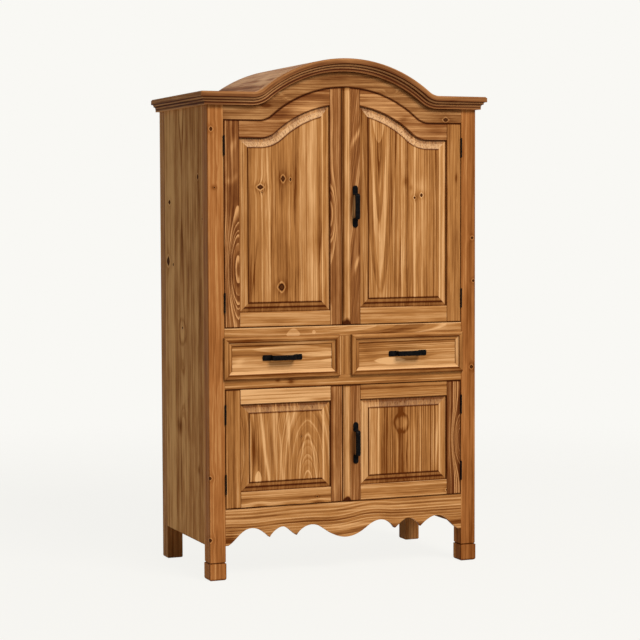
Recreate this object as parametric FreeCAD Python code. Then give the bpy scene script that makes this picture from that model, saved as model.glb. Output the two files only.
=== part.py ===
import FreeCAD, Part
import math
import os

# A pine trastero: a tall cupboard with an arched crown, two arched doors above, two
# drawers at the waist, two square doors below and a scalloped apron between the legs.
# Millimetres. X runs to the right, Y to the rear and Z up from the floor.

# Driving sizes of the case
case_width = 1150.0
case_depth = 600.0
arch_rise = 139.0
case_clearance = 134.0
post_size = 65.0
frame_thickness = 22.0

# Heights that stack up the front
apron_top = 276.5
lower_opening = 466.5
waist_rail = 42.0
drawer_opening = 154.0
upper_opening = 803.0
header_height = 91.0

# Round and hollow of each arched line
crown_round = 570.0
crown_hollow = 70.0
opening_rise = 135.0
opening_round = 476.0
opening_hollow = 85.0
panel_round = 440.0
panel_hollow = 105.0

# Boards of the case
side_thickness = 20.0
back_thickness = 12.0
back_recess = 8.0
roof_thickness = 16.0
deck_thickness = 18.0
back_rail_height = 60.0

# Gaps and plays
door_gap = 2.5
meeting_gap = 2.0
board_play = 0.5
seat_gap = 0.3
overrun = 5.0

# Crown moulding, from its top band down to the fillet on the case
crown_overhang = 35.0
crown_nose = 4.0
crown_band = 21.0
crown_step = 3.0
crown_reed = 9.0
crown_reed_set = 7.0
crown_reed_count = 2
crown_quirk = 1.0
crown_fillet = 9.0
reed_bulge_share = 0.28

# Foot block under each front post, and the plain rear feet
foot_height = 66.0
foot_swell = 2.0
foot_corner = 3.0
foot_groove = 5.0
foot_groove_depth = 3.0
foot_round = 9.0
rear_foot_round = 6.0

# Doors
meeting_line = -15.0
hinge_stile = 62.0
left_meeting_stile = 50.0
right_meeting_stile = 77.0
door_top_rail = 66.0
left_bottom_rail = 57.5
right_bottom_rail = 65.0
lower_top_rail = 56.5
lower_bottom_rail = 61.0

# Drawers
drawer_split = -4.0
divider_width = 60.0
drawer_overlay = 5.0

# Edges eased by hand with a plane
arris = 1.5
corner_round = 4.0


def vec(x, y, z):
    return FreeCAD.Vector(x, y, z)


def box(x0, x1, y0, y1, z0, z1):
    return Part.makeBox(x1 - x0, y1 - y0, z1 - z0, vec(x0, y0, z0))


def mirrored(shape):
    """The same piece for the other side of the cupboard."""
    return shape.mirror(vec(0, 0, 0), vec(1, 0, 0))


def joined(shapes):
    """One solid from pieces that meet or overlap."""
    return shapes[0].fuse(shapes[1:]).removeSplitter()


def edges_in_plane(shape, axis, place):
    """Edges that lie wholly in the plane where the axis has this value."""
    near = seat_gap / 10
    found = []
    for edge in shape.Edges:
        low = getattr(edge.BoundBox, axis + "Min")
        high = getattr(edge.BoundBox, axis + "Max")
        if abs(low - place) < near and abs(high - place) < near:
            found.append(edge)
    return found


def eased(shape, place):
    """The piece with the edges round its face at this Y taken off."""
    return shape.makeFillet(arris, edges_in_plane(shape, "Y", place))


class LevelLine:
    """A straight level edge seen from the front."""

    def __init__(self, height):
        self.shoulder = height
        self.peak = height

    def inset(self, depth):
        return LevelLine(self.shoulder - depth)

    def height_at(self, x):
        return self.shoulder

    def breaks(self):
        return []


class ArchLine:
    """Level shoulders that turn through a hollow into one round arch over X zero."""

    def __init__(self, shoulder, rise, round_radius, hollow_radius):
        self.shoulder = shoulder
        self.rise = rise
        self.round_radius = round_radius
        self.hollow_radius = hollow_radius
        self.peak = shoulder + rise
        span = round_radius + hollow_radius
        self.reach = math.sqrt(2 * span * rise - rise * rise)
        self.angle = math.asin(self.reach / span)
        self.touch = round_radius * self.reach / span

    def inset(self, depth):
        shoulder = self.shoulder - depth
        return ArchLine(shoulder, self.rise, self.round_radius - depth, self.hollow_radius + depth)

    def height_at(self, x):
        out = abs(x)
        if out >= self.reach:
            return self.shoulder
        if out >= self.touch:
            drop = math.sqrt(self.hollow_radius ** 2 - (self.reach - out) ** 2)
            return self.shoulder + self.hollow_radius - drop
        return self.peak - self.round_radius + math.sqrt(self.round_radius ** 2 - out ** 2)

    def breaks(self):
        return [-self.reach, -self.touch, self.touch, self.reach]


def line_edges(line, x_from, x_to, y):
    """Straight and round edges along a line, from one X to another."""
    low = min(x_from, x_to)
    high = max(x_from, x_to)
    stops = [low] + [x for x in line.breaks() if low < x < high] + [high]
    if x_from > x_to:
        stops.reverse()
    edges = []
    for a, b in zip(stops, stops[1:]):
        start = vec(a, y, line.height_at(a))
        end = vec(b, y, line.height_at(b))
        middle = vec((a + b) / 2, y, line.height_at((a + b) / 2))
        if middle.distanceToLine(start, end.sub(start)) < seat_gap / 100:
            edges.append(Part.LineSegment(start, end).toShape())
        else:
            edges.append(Part.Arc(start, middle, end).toShape())
    return edges


def panel_wire(x0, x1, z0, line, y):
    """Closed outline with straight sides and foot, and the line as its top."""
    foot = Part.LineSegment(vec(x0, y, z0), vec(x1, y, z0)).toShape()
    right = Part.LineSegment(vec(x1, y, z0), vec(x1, y, line.height_at(x1))).toShape()
    top = line_edges(line, x1, x0, y)
    left = Part.LineSegment(vec(x0, y, line.height_at(x0)), vec(x0, y, z0)).toShape()
    return Part.Wire([foot, right] + top + [left])


def panel_prism(x0, x1, z0, line, y0, y1):
    face = Part.Face(panel_wire(x0, x1, z0, line, y0))
    return face.extrude(vec(0, y1 - y0, 0))


def band_prism(x0, x1, lower, upper, y0, y1):
    """Board between two lines, such as the header over the doors."""
    foot = line_edges(lower, x0, x1, y0)
    right = Part.LineSegment(vec(x1, y0, lower.height_at(x1)), vec(x1, y0, upper.height_at(x1))).toShape()
    top = line_edges(upper, x1, x0, y0)
    left = Part.LineSegment(vec(x0, y0, upper.height_at(x0)), vec(x0, y0, lower.height_at(x0))).toShape()
    wire = Part.Wire(foot + [right] + top + [left])
    return Part.Face(wire).extrude(vec(0, y1 - y0, 0))


def polygon_prism(points, run):
    """Straight-sided prism from a closed ring of points."""
    return Part.Face(Part.makePolygon(points + points[:1])).extrude(run)


def sorted_pair(a, b):
    return min(a, b), max(a, b)


# Places that the driving sizes give
front = (crown_overhang - case_depth) / 2
rear = front + case_depth
half_width = case_width / 2
post_inner = half_width - post_size
side_inner = half_width - side_thickness
frame_back = front + frame_thickness
back_front = rear - back_recess - back_thickness
lower_rail_bottom = apron_top + lower_opening
lower_rail_top = lower_rail_bottom + waist_rail
upper_rail_bottom = lower_rail_top + drawer_opening
upper_rail_top = upper_rail_bottom + waist_rail
opening_shoulder = upper_rail_top + upper_opening
case_top = opening_shoulder + header_height
shoulder_height = case_top + roof_thickness
crown_line = ArchLine(shoulder_height, arch_rise, crown_round, crown_hollow)
roof_line = crown_line.inset(roof_thickness)
opening_line = ArchLine(opening_shoulder, opening_rise, opening_round, opening_hollow)
door_line = opening_line.inset(door_gap)
panel_line = ArchLine(door_line.shoulder - door_top_rail, opening_rise, panel_round, panel_hollow)

# Tenons of the front rails in the posts
rail_tenon_reach = 28.0
rail_tenon_thickness = 9.0
rail_tenon_shoulder = 7.0


def rail_tenons(z0, z1):
    """Both end tenons of a rail between the posts."""
    y0 = front + (frame_thickness - rail_tenon_thickness) / 2
    y1 = y0 + rail_tenon_thickness
    low = z0 + rail_tenon_shoulder
    high = z1 - rail_tenon_shoulder
    left = box(-post_inner - rail_tenon_reach, -post_inner, y0, y1, low, high)
    return [left, mirrored(left)]


def front_rail(z0, z1):
    """Level rail flush with the post faces, tenoned into both front posts."""
    board = eased(box(-post_inner, post_inner, front, frame_back, z0, z1), front)
    return joined([board] + rail_tenons(z0, z1))


# Side boards are glued up flush with the outer post faces and held in post grooves
side_tongue = 8.0
side_tongue_reach = 9.0


def side_tongues():
    x0 = -half_width + (side_thickness - side_tongue) / 2
    x1 = x0 + side_tongue
    fore = box(x0, x1, front + post_size - side_tongue_reach, front + post_size, case_clearance, case_top)
    aft = box(x0, x1, rear - post_size, rear - post_size + side_tongue_reach, case_clearance, case_top)
    return [fore, aft]


def side_panel():
    board = box(-half_width, -side_inner, front + post_size, rear - post_size, case_clearance, case_top)
    board = board.makeFillet(arris, edges_in_plane(board, "X", -half_width))
    return joined([board] + side_tongues())


# Back boards, edge to edge behind the shelves, with a shallow groove at each joint
back_tongue_reach = 9.0
back_board_count = 8
back_joint_depth = 2.0


def back_tongues():
    x0 = -post_inner - back_tongue_reach
    left = box(x0, -post_inner, back_front, back_front + back_thickness, case_clearance, case_top)
    return [left, mirrored(left)]


def back_panel():
    skin = back_front + back_thickness
    panel = panel_prism(-post_inner, post_inner, case_clearance, roof_line, back_front, skin)
    panel = joined([panel] + back_tongues())
    board = 2 * post_inner / back_board_count
    rise = vec(0, 0, crown_line.peak)
    for i in range(1, back_board_count):
        x = -post_inner + i * board
        left = vec(x - back_joint_depth, skin, 0)
        right = vec(x + back_joint_depth, skin, 0)
        deep = vec(x, skin - back_joint_depth, 0)
        panel = panel.cut(polygon_prism([left, right, deep], rise))
    return panel


def back_rails():
    """Two rails across the inside of the back, at the floor and under the roof."""
    y0 = back_front - frame_thickness
    lower = box(-post_inner, post_inner, y0, back_front, case_clearance, case_clearance + back_rail_height)
    upper = box(-post_inner, post_inner, y0, back_front, case_top - back_rail_height, case_top)
    return [lower, upper]


def upright_edges(shape, x, y):
    """The upright edge at this place in the plan."""
    found = []
    for edge in edges_in_plane(shape, "X", x):
        if edge.BoundBox.ZLength > post_size and abs(edge.BoundBox.YMax - y) < seat_gap:
            found.append(edge)
    return found


def foot_block(x0, y0):
    """Foot block, wider than its post, with rounded corners and a rounded sole."""
    x1 = x0 + post_size + foot_swell
    y1 = y0 + post_size + foot_swell
    block = box(x0 - foot_swell, x1, y0 - foot_swell, y1, 0, foot_height)
    block = block.makeFillet(foot_corner, [e for e in block.Edges if e.BoundBox.ZLength > foot_round])
    block = block.makeFillet(foot_round, edges_in_plane(block, "Z", 0))
    return block.makeFillet(arris, edges_in_plane(block, "Z", foot_height))


def post_shaft(y0, outer_y, inner_y, z0):
    """Left-hand post with eased edges, from this height up to the roof."""
    x0 = -half_width
    x1 = x0 + post_size
    shaft = box(x0, x1, y0, y0 + post_size, z0, case_top)
    shaft = shaft.makeFillet(corner_round, upright_edges(shaft, x0, outer_y))
    return shaft.makeFillet(arris, upright_edges(shaft, x1, outer_y) + upright_edges(shaft, x0, inner_y))


def front_post():
    """Front post and its foot block, with the groove scored between them."""
    deep = foot_groove_depth
    x0 = -half_width + deep
    x1 = -post_inner - deep
    y1 = front + post_size
    shaft_foot = foot_height + foot_groove
    neck = box(x0, x1, front + deep, y1 - deep, foot_height - deep, shaft_foot + deep)
    return joined([foot_block(-half_width, front), neck, post_shaft(front, front, y1, shaft_foot)])


def rear_post():
    """Rear post, plain down to the floor, with a worn sole."""
    shaft = post_shaft(rear - post_size, rear, rear - post_size, 0)
    return shaft.makeFillet(rear_foot_round, edges_in_plane(shaft, "Z", 0))


# Apron between the front legs: one wide drop in the middle and two scallops each side.
# Across is a share of the half opening, down is a share of the apron's full height.
apron_middle_shares = [(0.418, 0.839), (0.349, 0.621), (0.290, 0.572), (0.2235, 0.635), (0.139, 0.832)]
apron_drop_share = 0.989
apron_scallop_shares = [(0.418, 0.839), (0.480, 0.660), (0.531, 0.572), (0.5825, 0.630), (0.641, 0.839)]
apron_end_shares = [(0.641, 0.839), (0.722, 0.621), (0.784, 0.558), (0.843, 0.607), (0.918, 0.825), (0.98, 1.0)]


def apron_point(across, down):
    return vec(across * post_inner, front, apron_top - down * (apron_top - case_clearance))


def smooth_edge(points):
    curve = Part.BSplineCurve()
    curve.interpolate(points)
    return curve.toShape()


def apron():
    """Board flush with the posts, sawn to the scalloped line along its foot."""
    half = [apron_point(a, d) for a, d in apron_middle_shares]
    flip = [apron_point(-a, d) for a, d in apron_middle_shares]
    middle = smooth_edge(flip + [apron_point(0, apron_drop_share)] + half[::-1])
    edges = [middle]
    for side in (-1, 1):
        scallop = [apron_point(side * a, d) for a, d in apron_scallop_shares]
        end = [apron_point(side * a, d) for a, d in apron_end_shares]
        heel = apron_point(side, 1)
        edges.append(smooth_edge(scallop))
        edges.append(smooth_edge(end))
        edges.append(Part.LineSegment(end[-1], heel).toShape())
        edges.append(Part.LineSegment(heel, apron_point(side, 0)).toShape())
    edges.append(Part.LineSegment(apron_point(-1, 0), apron_point(1, 0)).toShape())
    outline = Part.Wire(Part.__sortEdges__(edges))
    board = Part.Face(outline).extrude(vec(0, frame_thickness, 0))
    return joined([board] + rail_tenons(case_clearance, apron_top))


def header_rail():
    """Arched board over the doors, from their opening up to the roof."""
    board = band_prism(-post_inner, post_inner, opening_line, roof_line, front, frame_back)
    return joined([board] + rail_tenons(opening_shoulder, case_top))


def roof_boards():
    """Boards bent over the header and the back, level with the top of the crown."""
    return band_prism(-half_width, half_width, roof_line, crown_line, front, rear)


def crown_profile(place):
    """Closed moulding section; place turns outward and downward into a point."""
    band = crown_overhang - crown_step
    nose_middle = crown_nose * (1 - math.sqrt(0.5))
    edges = []
    corner = [(0, 0), (crown_overhang - crown_nose, 0)]
    edges.append(Part.LineSegment(place(*corner[0]), place(*corner[1])).toShape())
    nose = [corner[1], (crown_overhang - nose_middle, nose_middle), (crown_overhang, crown_nose)]
    edges.append(Part.Arc(*[place(*p) for p in nose]).toShape())
    path = [nose[-1], (crown_overhang, crown_band), (band, crown_band)]
    out = band
    down = crown_band
    for _ in range(crown_reed_count):
        edges += straight_edges([place(*p) for p in path])
        end = (out - crown_reed_set, down + crown_reed)
        bulge_out = (out + end[0]) / 2 + reed_bulge_share * crown_reed
        bulge_down = (down + end[1]) / 2 + reed_bulge_share * crown_reed_set
        edges.append(Part.Arc(place(out, down), place(bulge_out, bulge_down), place(*end)).toShape())
        path = [end, (end[0] - crown_quirk, end[1]), (end[0] - crown_quirk, end[1] + crown_quirk)]
        out = end[0] - crown_quirk
        down = end[1] + crown_quirk
    path += [(out, down + crown_fillet), (0, down + crown_fillet), (0, 0)]
    edges += straight_edges([place(*p) for p in path])
    return Part.Face(Part.Wire(edges))


def straight_edges(points):
    return [Part.LineSegment(a, b).toShape() for a, b in zip(points, points[1:])]


def mitre_wedge(outer_y):
    """What lies beyond the left mitre, on the side of the moulding named by its Y."""
    inner = vec(-half_width, front, 0)
    far = crown_overhang + overrun
    tip = vec(-half_width - far, front - far, 0)
    third = vec(-half_width - far, front, 0) if outer_y == front else vec(-half_width, front - far, 0)
    return polygon_prism([inner, tip, third], vec(0, 0, crown_line.peak))


def crown_front():
    """Front moulding: level ends, hollows and the arch, mitred at both corners."""
    line = crown_line
    end_x = half_width + crown_overhang
    level = crown_profile(lambda out, down: vec(-end_x, front - out, line.shoulder - down))
    left_end = level.extrude(vec(end_x - line.reach, 0, 0))
    bend = crown_profile(lambda out, down: vec(-line.reach, front - out, line.shoulder - down))
    turn = math.degrees(line.angle)
    hollow_centre = vec(-line.reach, front, line.shoulder + line.hollow_radius)
    left_hollow = bend.revolve(hollow_centre, vec(0, 1, 0), -turn)
    crest = crown_profile(lambda out, down: vec(0, front - out, line.peak - down))
    arch_centre = vec(0, front, line.peak - line.round_radius)
    crest.rotate(arch_centre, vec(0, 1, 0), -turn)
    arch = crest.revolve(arch_centre, vec(0, 1, 0), 2 * turn)
    left = left_end.fuse(left_hollow).cut(mitre_wedge(front))
    return joined([arch, left, mirrored(left)])


def crown_return():
    """Left moulding, from the front mitre back along the side."""
    start = front - crown_overhang
    profile = crown_profile(lambda out, down: vec(-half_width - out, start, shoulder_height - down))
    return profile.extrude(vec(0, rear - start, 0)).cut(mitre_wedge(start))


# Floors and shelves
shelf_setback = 70.0
lower_shelf_share = 0.5
upper_shelf_shares = [0.333, 0.667]
cleat_size = 22.0
stop_width = 50.0
stop_height = 14.0
stop_depth = 16.0
stop_offset = 60.0


def post_corners():
    """The four post places, a little large, for notching the floors round them."""
    inner = -post_inner + board_play
    room = post_size + board_play
    fore = box(-half_width, inner, front, front + room, 0, case_top)
    aft = box(-half_width, inner, rear - room, rear, 0, case_top)
    return [fore, aft, mirrored(fore), mirrored(aft)]


def deck(top):
    """Fixed floor from the front rail to the back boards, notched round the posts."""
    board = box(-side_inner, side_inner, frame_back, back_front, top - deck_thickness, top)
    for corner in post_corners():
        board = board.cut(corner)
    return board


def lower_shelf_top():
    return apron_top + lower_shelf_share * lower_opening


def shelf_tops():
    uppers = [upper_rail_top + share * upper_opening for share in upper_shelf_shares]
    return [lower_shelf_top()] + uppers


def shelf(top):
    x1 = side_inner - board_play
    y0 = front + shelf_setback
    y1 = rear - post_size - board_play
    return eased(box(-x1, x1, y0, y1, top - deck_thickness, top), y0)


def shelf_cleats():
    """A strip on each side panel under every floor and shelf."""
    x1 = -side_inner + cleat_size
    strips = []
    for top in [apron_top, lower_rail_top, upper_rail_top] + shelf_tops():
        z1 = top - deck_thickness
        strip = box(-side_inner, x1, front + post_size, rear - post_size, z1 - cleat_size, z1)
        strips += [strip, mirrored(strip)]
    return strips


def door_stops():
    """A block on the floor behind each door, close to where the doors meet."""
    y0 = frame_back + seat_gap
    blocks = []
    for floor in (apron_top, upper_rail_top):
        for side in (-1, 1):
            x0 = meeting_line + side * stop_offset - stop_width / 2
            blocks.append(box(x0, x0 + stop_width, y0, y0 + stop_depth, floor, floor + stop_height))
    return blocks


# Butt hinges: two leaves in the gap between post and door, and a barrel proud of the front
leaf_thickness = 1.0
leaf_clearance = 0.3
leaf_width = 18.0
hinge_height = 75.0
hinge_inset = 95.0
knuckle_radius = 3.5
knuckle_count = 5
knuckle_clearance = 0.3
pin_radius = 1.5
pin_play = 0.05
pin_head_radius = 3.0
pin_head_height = 2.0
hinge_gap = 2 * leaf_thickness + leaf_clearance
hinge_x = -post_inner + hinge_gap / 2
hinge_y = front - knuckle_radius - leaf_clearance
knuckle_height = (hinge_height - (knuckle_count - 1) * knuckle_clearance) / knuckle_count


def hinge_feet(z0, line):
    """Bottom of each hinge on a door that stands at this height under this line."""
    return [z0 + hinge_inset - hinge_height / 2, line.shoulder - hinge_inset - hinge_height / 2]


def knuckles(z0, first):
    """Every other knuckle of a barrel, with the bore for the pin."""
    parts = []
    for i in range(first, knuckle_count, 2):
        low = z0 + i * (knuckle_height + knuckle_clearance)
        parts.append(Part.makeCylinder(knuckle_radius, knuckle_height, vec(hinge_x, hinge_y, low)))
    return parts


def pin_bore(z0):
    foot = vec(hinge_x, hinge_y, z0 - overrun)
    return Part.makeCylinder(pin_radius + pin_play, hinge_height + 2 * overrun, foot)


def leaf(z0, x0, first):
    """A leaf and its knuckles; the leaf keeps clear of the other leaf's knuckles."""
    clear = front + leaf_clearance
    x1 = x0 + leaf_thickness
    plate = box(x0, x1, clear, front + leaf_width, z0, z0 + hinge_height)
    links = []
    for tube in knuckles(z0, first):
        low = tube.BoundBox.ZMin
        links.append(box(x0, x1, hinge_y, clear, low, low + knuckle_height))
        links.append(tube)
    return joined([plate] + links).cut(pin_bore(z0))


def hinge_pin(z0):
    """Pin with a button head on each end of the barrel."""
    shank = Part.makeCylinder(pin_radius, hinge_height, vec(hinge_x, hinge_y, z0))
    lower = Part.makeCylinder(pin_head_radius, pin_head_height, vec(hinge_x, hinge_y, z0 - pin_head_height))
    upper = Part.makeCylinder(pin_head_radius, pin_head_height, vec(hinge_x, hinge_y, z0 + hinge_height))
    rim = pin_head_height / 2
    lower = lower.makeFillet(rim, edges_in_plane(lower, "Z", z0 - pin_head_height))
    upper = upper.makeFillet(rim, edges_in_plane(upper, "Z", z0 + hinge_height + pin_head_height))
    return joined([shank, lower, upper])


# Forged bar pull: two foot pads, two legs and a straight grip
pull_pad_reach = 31.5
pull_pad_width = 22.0
pull_pad_thickness = 4.0
pull_bar_width = 20.0
pull_bar_thickness = 8.0
pull_bar_length = 104.0
pull_reach = 30.0
pull_pad_round = 8.0
pull_bar_round = 2.5
pull_end_round = 6.0


def pull():
    """Upright pull at the origin, its pads on the plane where Y is zero."""
    half_bar = pull_bar_length / 2
    leg = half_bar - pull_bar_thickness
    grip_back = pull_bar_thickness - pull_reach
    outline = [
        vec(0, 0, -half_bar),
        vec(0, -pull_reach, -half_bar),
        vec(0, -pull_reach, half_bar),
        vec(0, 0, half_bar),
        vec(0, 0, leg),
        vec(0, grip_back, leg),
        vec(0, grip_back, -leg),
        vec(0, 0, -leg),
    ]
    bar = polygon_prism(outline, vec(pull_bar_width, 0, 0))
    half_width_of_bar = pull_bar_width / 2
    bar.translate(vec(-half_width_of_bar, 0, 0))
    corners = [e for e in edges_in_plane(bar, "Y", -pull_reach) if e.BoundBox.XLength > half_width_of_bar]
    bar = bar.makeFillet(pull_end_round, corners)
    rims = [e for e in bar.Edges if e.BoundBox.YMax < grip_back and e.BoundBox.XLength < half_width_of_bar]
    bar = bar.makeFillet(pull_bar_round, rims)
    pads = []
    for side in (-1, 1):
        tip = side * (half_bar + pull_pad_reach)
        near, far = sorted_pair(side * leg, tip)
        half = pull_pad_width / 2
        pad = box(-half, half, -pull_pad_thickness, 0, near, far)
        ends = []
        for edge in edges_in_plane(pad, "Z", tip):
            if edge.BoundBox.YLength > pull_pad_thickness / 2:
                ends.append(edge)
        pads.append(pad.makeFillet(pull_pad_round, ends))
    return joined([bar] + pads)


def upright_pull(x, z):
    handle = pull()
    handle.translate(vec(x, front, z))
    return handle


def level_pull(x, y, z):
    handle = pull()
    handle.rotate(vec(0, 0, 0), vec(0, 1, 0), math.degrees(math.pi / 2))
    handle.translate(vec(x, y, z))
    return handle


# Frame-and-panel doors: stub tongues of the raised panel sit in grooves of the frame
door_tongue = 6.0
tongue_depth = 8.0
door_groove = 8.0
door_tenon_reach = 30.0
tenon_shoulder = 10.0
tenon_web = 3.0
bevel_width = 37.0
bevel_low = 8.0
bevel_middle = 5.2
bevel_bead = 1.4
bevel_high = 2.6
field_depth = 0.6
bevel_outer_share = 0.45


def panel_step(opening, inset_near, depth_near, inset_far, depth_far):
    """Sloping step of the raised panel between two outlines and two depths."""
    x0, x1, z0, line = opening
    wires = []
    for inset, depth in ((inset_far, depth_far), (inset_near, depth_near)):
        wires.append(panel_wire(x0 + inset, x1 - inset, z0 + inset, line.inset(inset), front + depth))
    return Part.makeLoft(wires, True, True)


def panel_layer(opening, inset, depth_near, depth_far):
    x0, x1, z0, line = opening
    y0 = front + depth_near
    return panel_prism(x0 + inset, x1 - inset, z0 + inset, line.inset(inset), y0, front + depth_far)


def panel_slot(opening):
    """Groove round the inside of the door frame for the panel's tongue."""
    return panel_layer(opening, -door_groove, tongue_depth, tongue_depth + door_tongue)


def raised_panel(opening):
    """Panel with a tongue, two sloping bands with a bead between, and a raised field."""
    outer = bevel_width * bevel_outer_share
    tongue_back = tongue_depth + door_tongue
    layers = [
        panel_layer(opening, board_play - door_groove, bevel_low, tongue_back),
        panel_step(opening, outer, bevel_middle, 0, bevel_low),
        panel_layer(opening, outer, bevel_middle - bevel_bead, bevel_middle),
        panel_step(opening, bevel_width, bevel_high, outer, bevel_middle - bevel_bead),
        panel_layer(opening, bevel_width, field_depth, bevel_high),
    ]
    return joined(layers)


def door_tenon(x_inner, side, z0, z1):
    """Tenon of a rail that enters the stile on the side given."""
    x0, x1 = sorted_pair(x_inner, x_inner + side * door_tenon_reach)
    y0 = front + tongue_depth
    return box(x0, x1, y0, y0 + door_tongue, z0, z1)


def door(side, z0, line, opening_top, bottom_rail, meeting_stile):
    """All wooden pieces of one door; side is -1 for the left door and 1 for the right."""
    hinge_edge = side * (post_inner - hinge_gap)
    meeting_edge = meeting_line + side * meeting_gap / 2
    hinge_inner = hinge_edge - side * hinge_stile
    meeting_inner = meeting_edge + side * meeting_stile
    x0, x1 = sorted_pair(hinge_inner, meeting_inner)
    rail_top = z0 + bottom_rail
    opening = (x0, x1, rail_top, opening_top)
    slot = panel_slot(opening)
    slot_top = opening_top.inset(-door_groove)
    foot_tenons = {}
    head_tenons = {}
    for name, x, way in (("hinge", hinge_inner, side), ("meeting", meeting_inner, -side)):
        foot_tenons[name] = door_tenon(x, way, z0 + tenon_shoulder, rail_top - door_groove - tenon_web)
        head_low = max(slot_top.height_at(x), slot_top.height_at(x + way * door_groove)) + tenon_web
        head_high = min(line.height_at(x), line.height_at(x + way * door_tenon_reach)) - tenon_shoulder
        head_tenons[name] = door_tenon(x, way, head_low, head_high)
    pieces = {}
    for name, outer, inner in (("hinge", hinge_edge, hinge_inner), ("meeting", meeting_edge, meeting_inner)):
        stile_x0, stile_x1 = sorted_pair(outer, inner)
        stile = eased(panel_prism(stile_x0, stile_x1, z0, line, front, frame_back), front)
        pieces[name + "_stile"] = stile.cut([slot, foot_tenons[name], head_tenons[name]])
    foot = eased(box(x0, x1, front, frame_back, z0, rail_top), front).cut(slot)
    head = eased(band_prism(x0, x1, opening_top, line, front, frame_back), front).cut(slot)
    pieces["bottom_rail"] = joined([foot] + list(foot_tenons.values()))
    pieces["top_rail"] = joined([head] + list(head_tenons.values()))
    pieces["panel"] = raised_panel(opening)
    return pieces


# Half-round strip on the right door of each pair
astragal_width = 34.0
astragal_fillet = 3.0
astragal_lip = 2.5
astragal_proud = 9.5
astragal_bevel = 16.0


def astragal(z0, line):
    """Bead along the meeting edge, its foot cut off on the slant."""
    x0 = meeting_line + meeting_gap / 2
    x1 = x0 + astragal_width
    lip = front - astragal_lip
    start = vec(x0 + astragal_fillet, lip, z0)
    end = vec(x1 - astragal_fillet, lip, z0)
    crest = vec((x0 + x1) / 2, front - astragal_proud, z0)
    back = [vec(x1, lip, z0), vec(x1, front, z0), vec(x0, front, z0), vec(x0, lip, z0)]
    edges = straight_edges([end] + back + [start])
    edges.append(Part.Arc(start, crest, end).toShape())
    strip = Part.Face(Part.Wire(edges)).extrude(vec(0, 0, line.peak - z0))
    strip = strip.common(panel_prism(x0, x1, z0, line, front - astragal_proud - overrun, front))
    slope = astragal_bevel / astragal_proud
    far = astragal_proud + overrun
    wedge = [vec(x0, front, z0), vec(x0, front - far, z0), vec(x0, front - far, z0 + slope * far)]
    return strip.cut(polygon_prism(wedge, vec(astragal_width, 0, 0)))


# Drawers: an overlaid front with a mitred moulding round a sunk panel, and a plain box
drawer_recess = 3.0
drawer_panel_thickness = 16.0
drawer_panel_play = 2.0
drawer_side_play = 3.0
drawer_side = 12.0
drawer_bottom = 6.0
drawer_bottom_lift = 10.0
drawer_bottom_groove = 5.0
drawer_box_height = 125.0
drawer_back_gap = 87.0
moulding_width = 34.0
moulding_proud = 12.0
moulding_round = 6.0
moulding_flat = 19.0
moulding_quirk = 1.5
guide_size = 20.0
guide_play = 1.0


def drawer_span(side):
    """Left and right edge of a drawer's opening."""
    if side < 0:
        return -post_inner, drawer_split - divider_width / 2
    return drawer_split + divider_width / 2, post_inner


def drawer_panel(side):
    x0, x1 = drawer_span(side)
    y0 = front - drawer_recess
    play = drawer_panel_play
    z0 = lower_rail_top + play
    z1 = upper_rail_bottom - play
    return box(x0 + play, x1 - play, y0, y0 + drawer_panel_thickness, z0, z1)


def moulding_section(place):
    """Section of the drawer moulding; place turns inward and outward into a point."""
    corner = moulding_round * (1 - math.sqrt(0.5))
    rebate = drawer_overlay + drawer_panel_play
    shoulder = moulding_proud - moulding_quirk
    rim = drawer_recess + moulding_quirk
    sag = (moulding_flat + moulding_width) / 2, (shoulder + rim) / 2 - moulding_quirk
    edges = straight_edges([place(0, seat_gap), place(0, moulding_proud - moulding_round)])
    edges.append(
        Part.Arc(
            place(0, moulding_proud - moulding_round),
            place(corner, moulding_proud - corner),
            place(moulding_round, moulding_proud),
        ).toShape()
    )
    top = [(moulding_round, moulding_proud), (moulding_flat, moulding_proud), (moulding_flat, shoulder)]
    edges += straight_edges([place(*p) for p in top])
    edges.append(Part.Arc(place(moulding_flat, shoulder), place(*sag), place(moulding_width, rim)).toShape())
    back = [(moulding_width, rim), (moulding_width, drawer_recess), (rebate, drawer_recess)]
    back += [(rebate, seat_gap), (0, seat_gap)]
    edges += straight_edges([place(*p) for p in back])
    return Part.Face(Part.Wire(edges))


def drawer_moulding(side):
    """Four mitred strips round the drawer front, lapping onto the case."""
    span = drawer_span(side)
    x0 = span[0] - drawer_overlay
    x1 = span[1] + drawer_overlay
    z0 = lower_rail_top - drawer_overlay
    z1 = upper_rail_bottom + drawer_overlay
    wide = x1 - x0
    tall = z1 - z0
    foot = moulding_section(lambda u, h: vec(x0, front - h, z0 + u)).extrude(vec(wide, 0, 0))
    head = moulding_section(lambda u, h: vec(x0, front - h, z1 - u)).extrude(vec(wide, 0, 0))
    left = moulding_section(lambda u, h: vec(x0 + u, front - h, z0)).extrude(vec(0, 0, tall))
    right = moulding_section(lambda u, h: vec(x1 - u, front - h, z0)).extrude(vec(0, 0, tall))
    mid = tall / 2
    y = front - moulding_proud - overrun
    deep = vec(0, moulding_proud + 2 * overrun, 0)
    low_left, low_right = vec(x0, y, z0), vec(x1, y, z0)
    high_left, high_right = vec(x0, y, z1), vec(x1, y, z1)
    hip_left, hip_right = vec(x0 + mid, y, z0 + mid), vec(x1 - mid, y, z0 + mid)
    keep = [
        [low_left, low_right, hip_right, hip_left],
        [high_left, high_right, hip_right, hip_left],
        [low_left, high_left, hip_left],
        [low_right, high_right, hip_right],
    ]
    strips = [foot, head, left, right]
    return [strip.common(polygon_prism(ring, deep)) for strip, ring in zip(strips, keep)]


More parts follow.
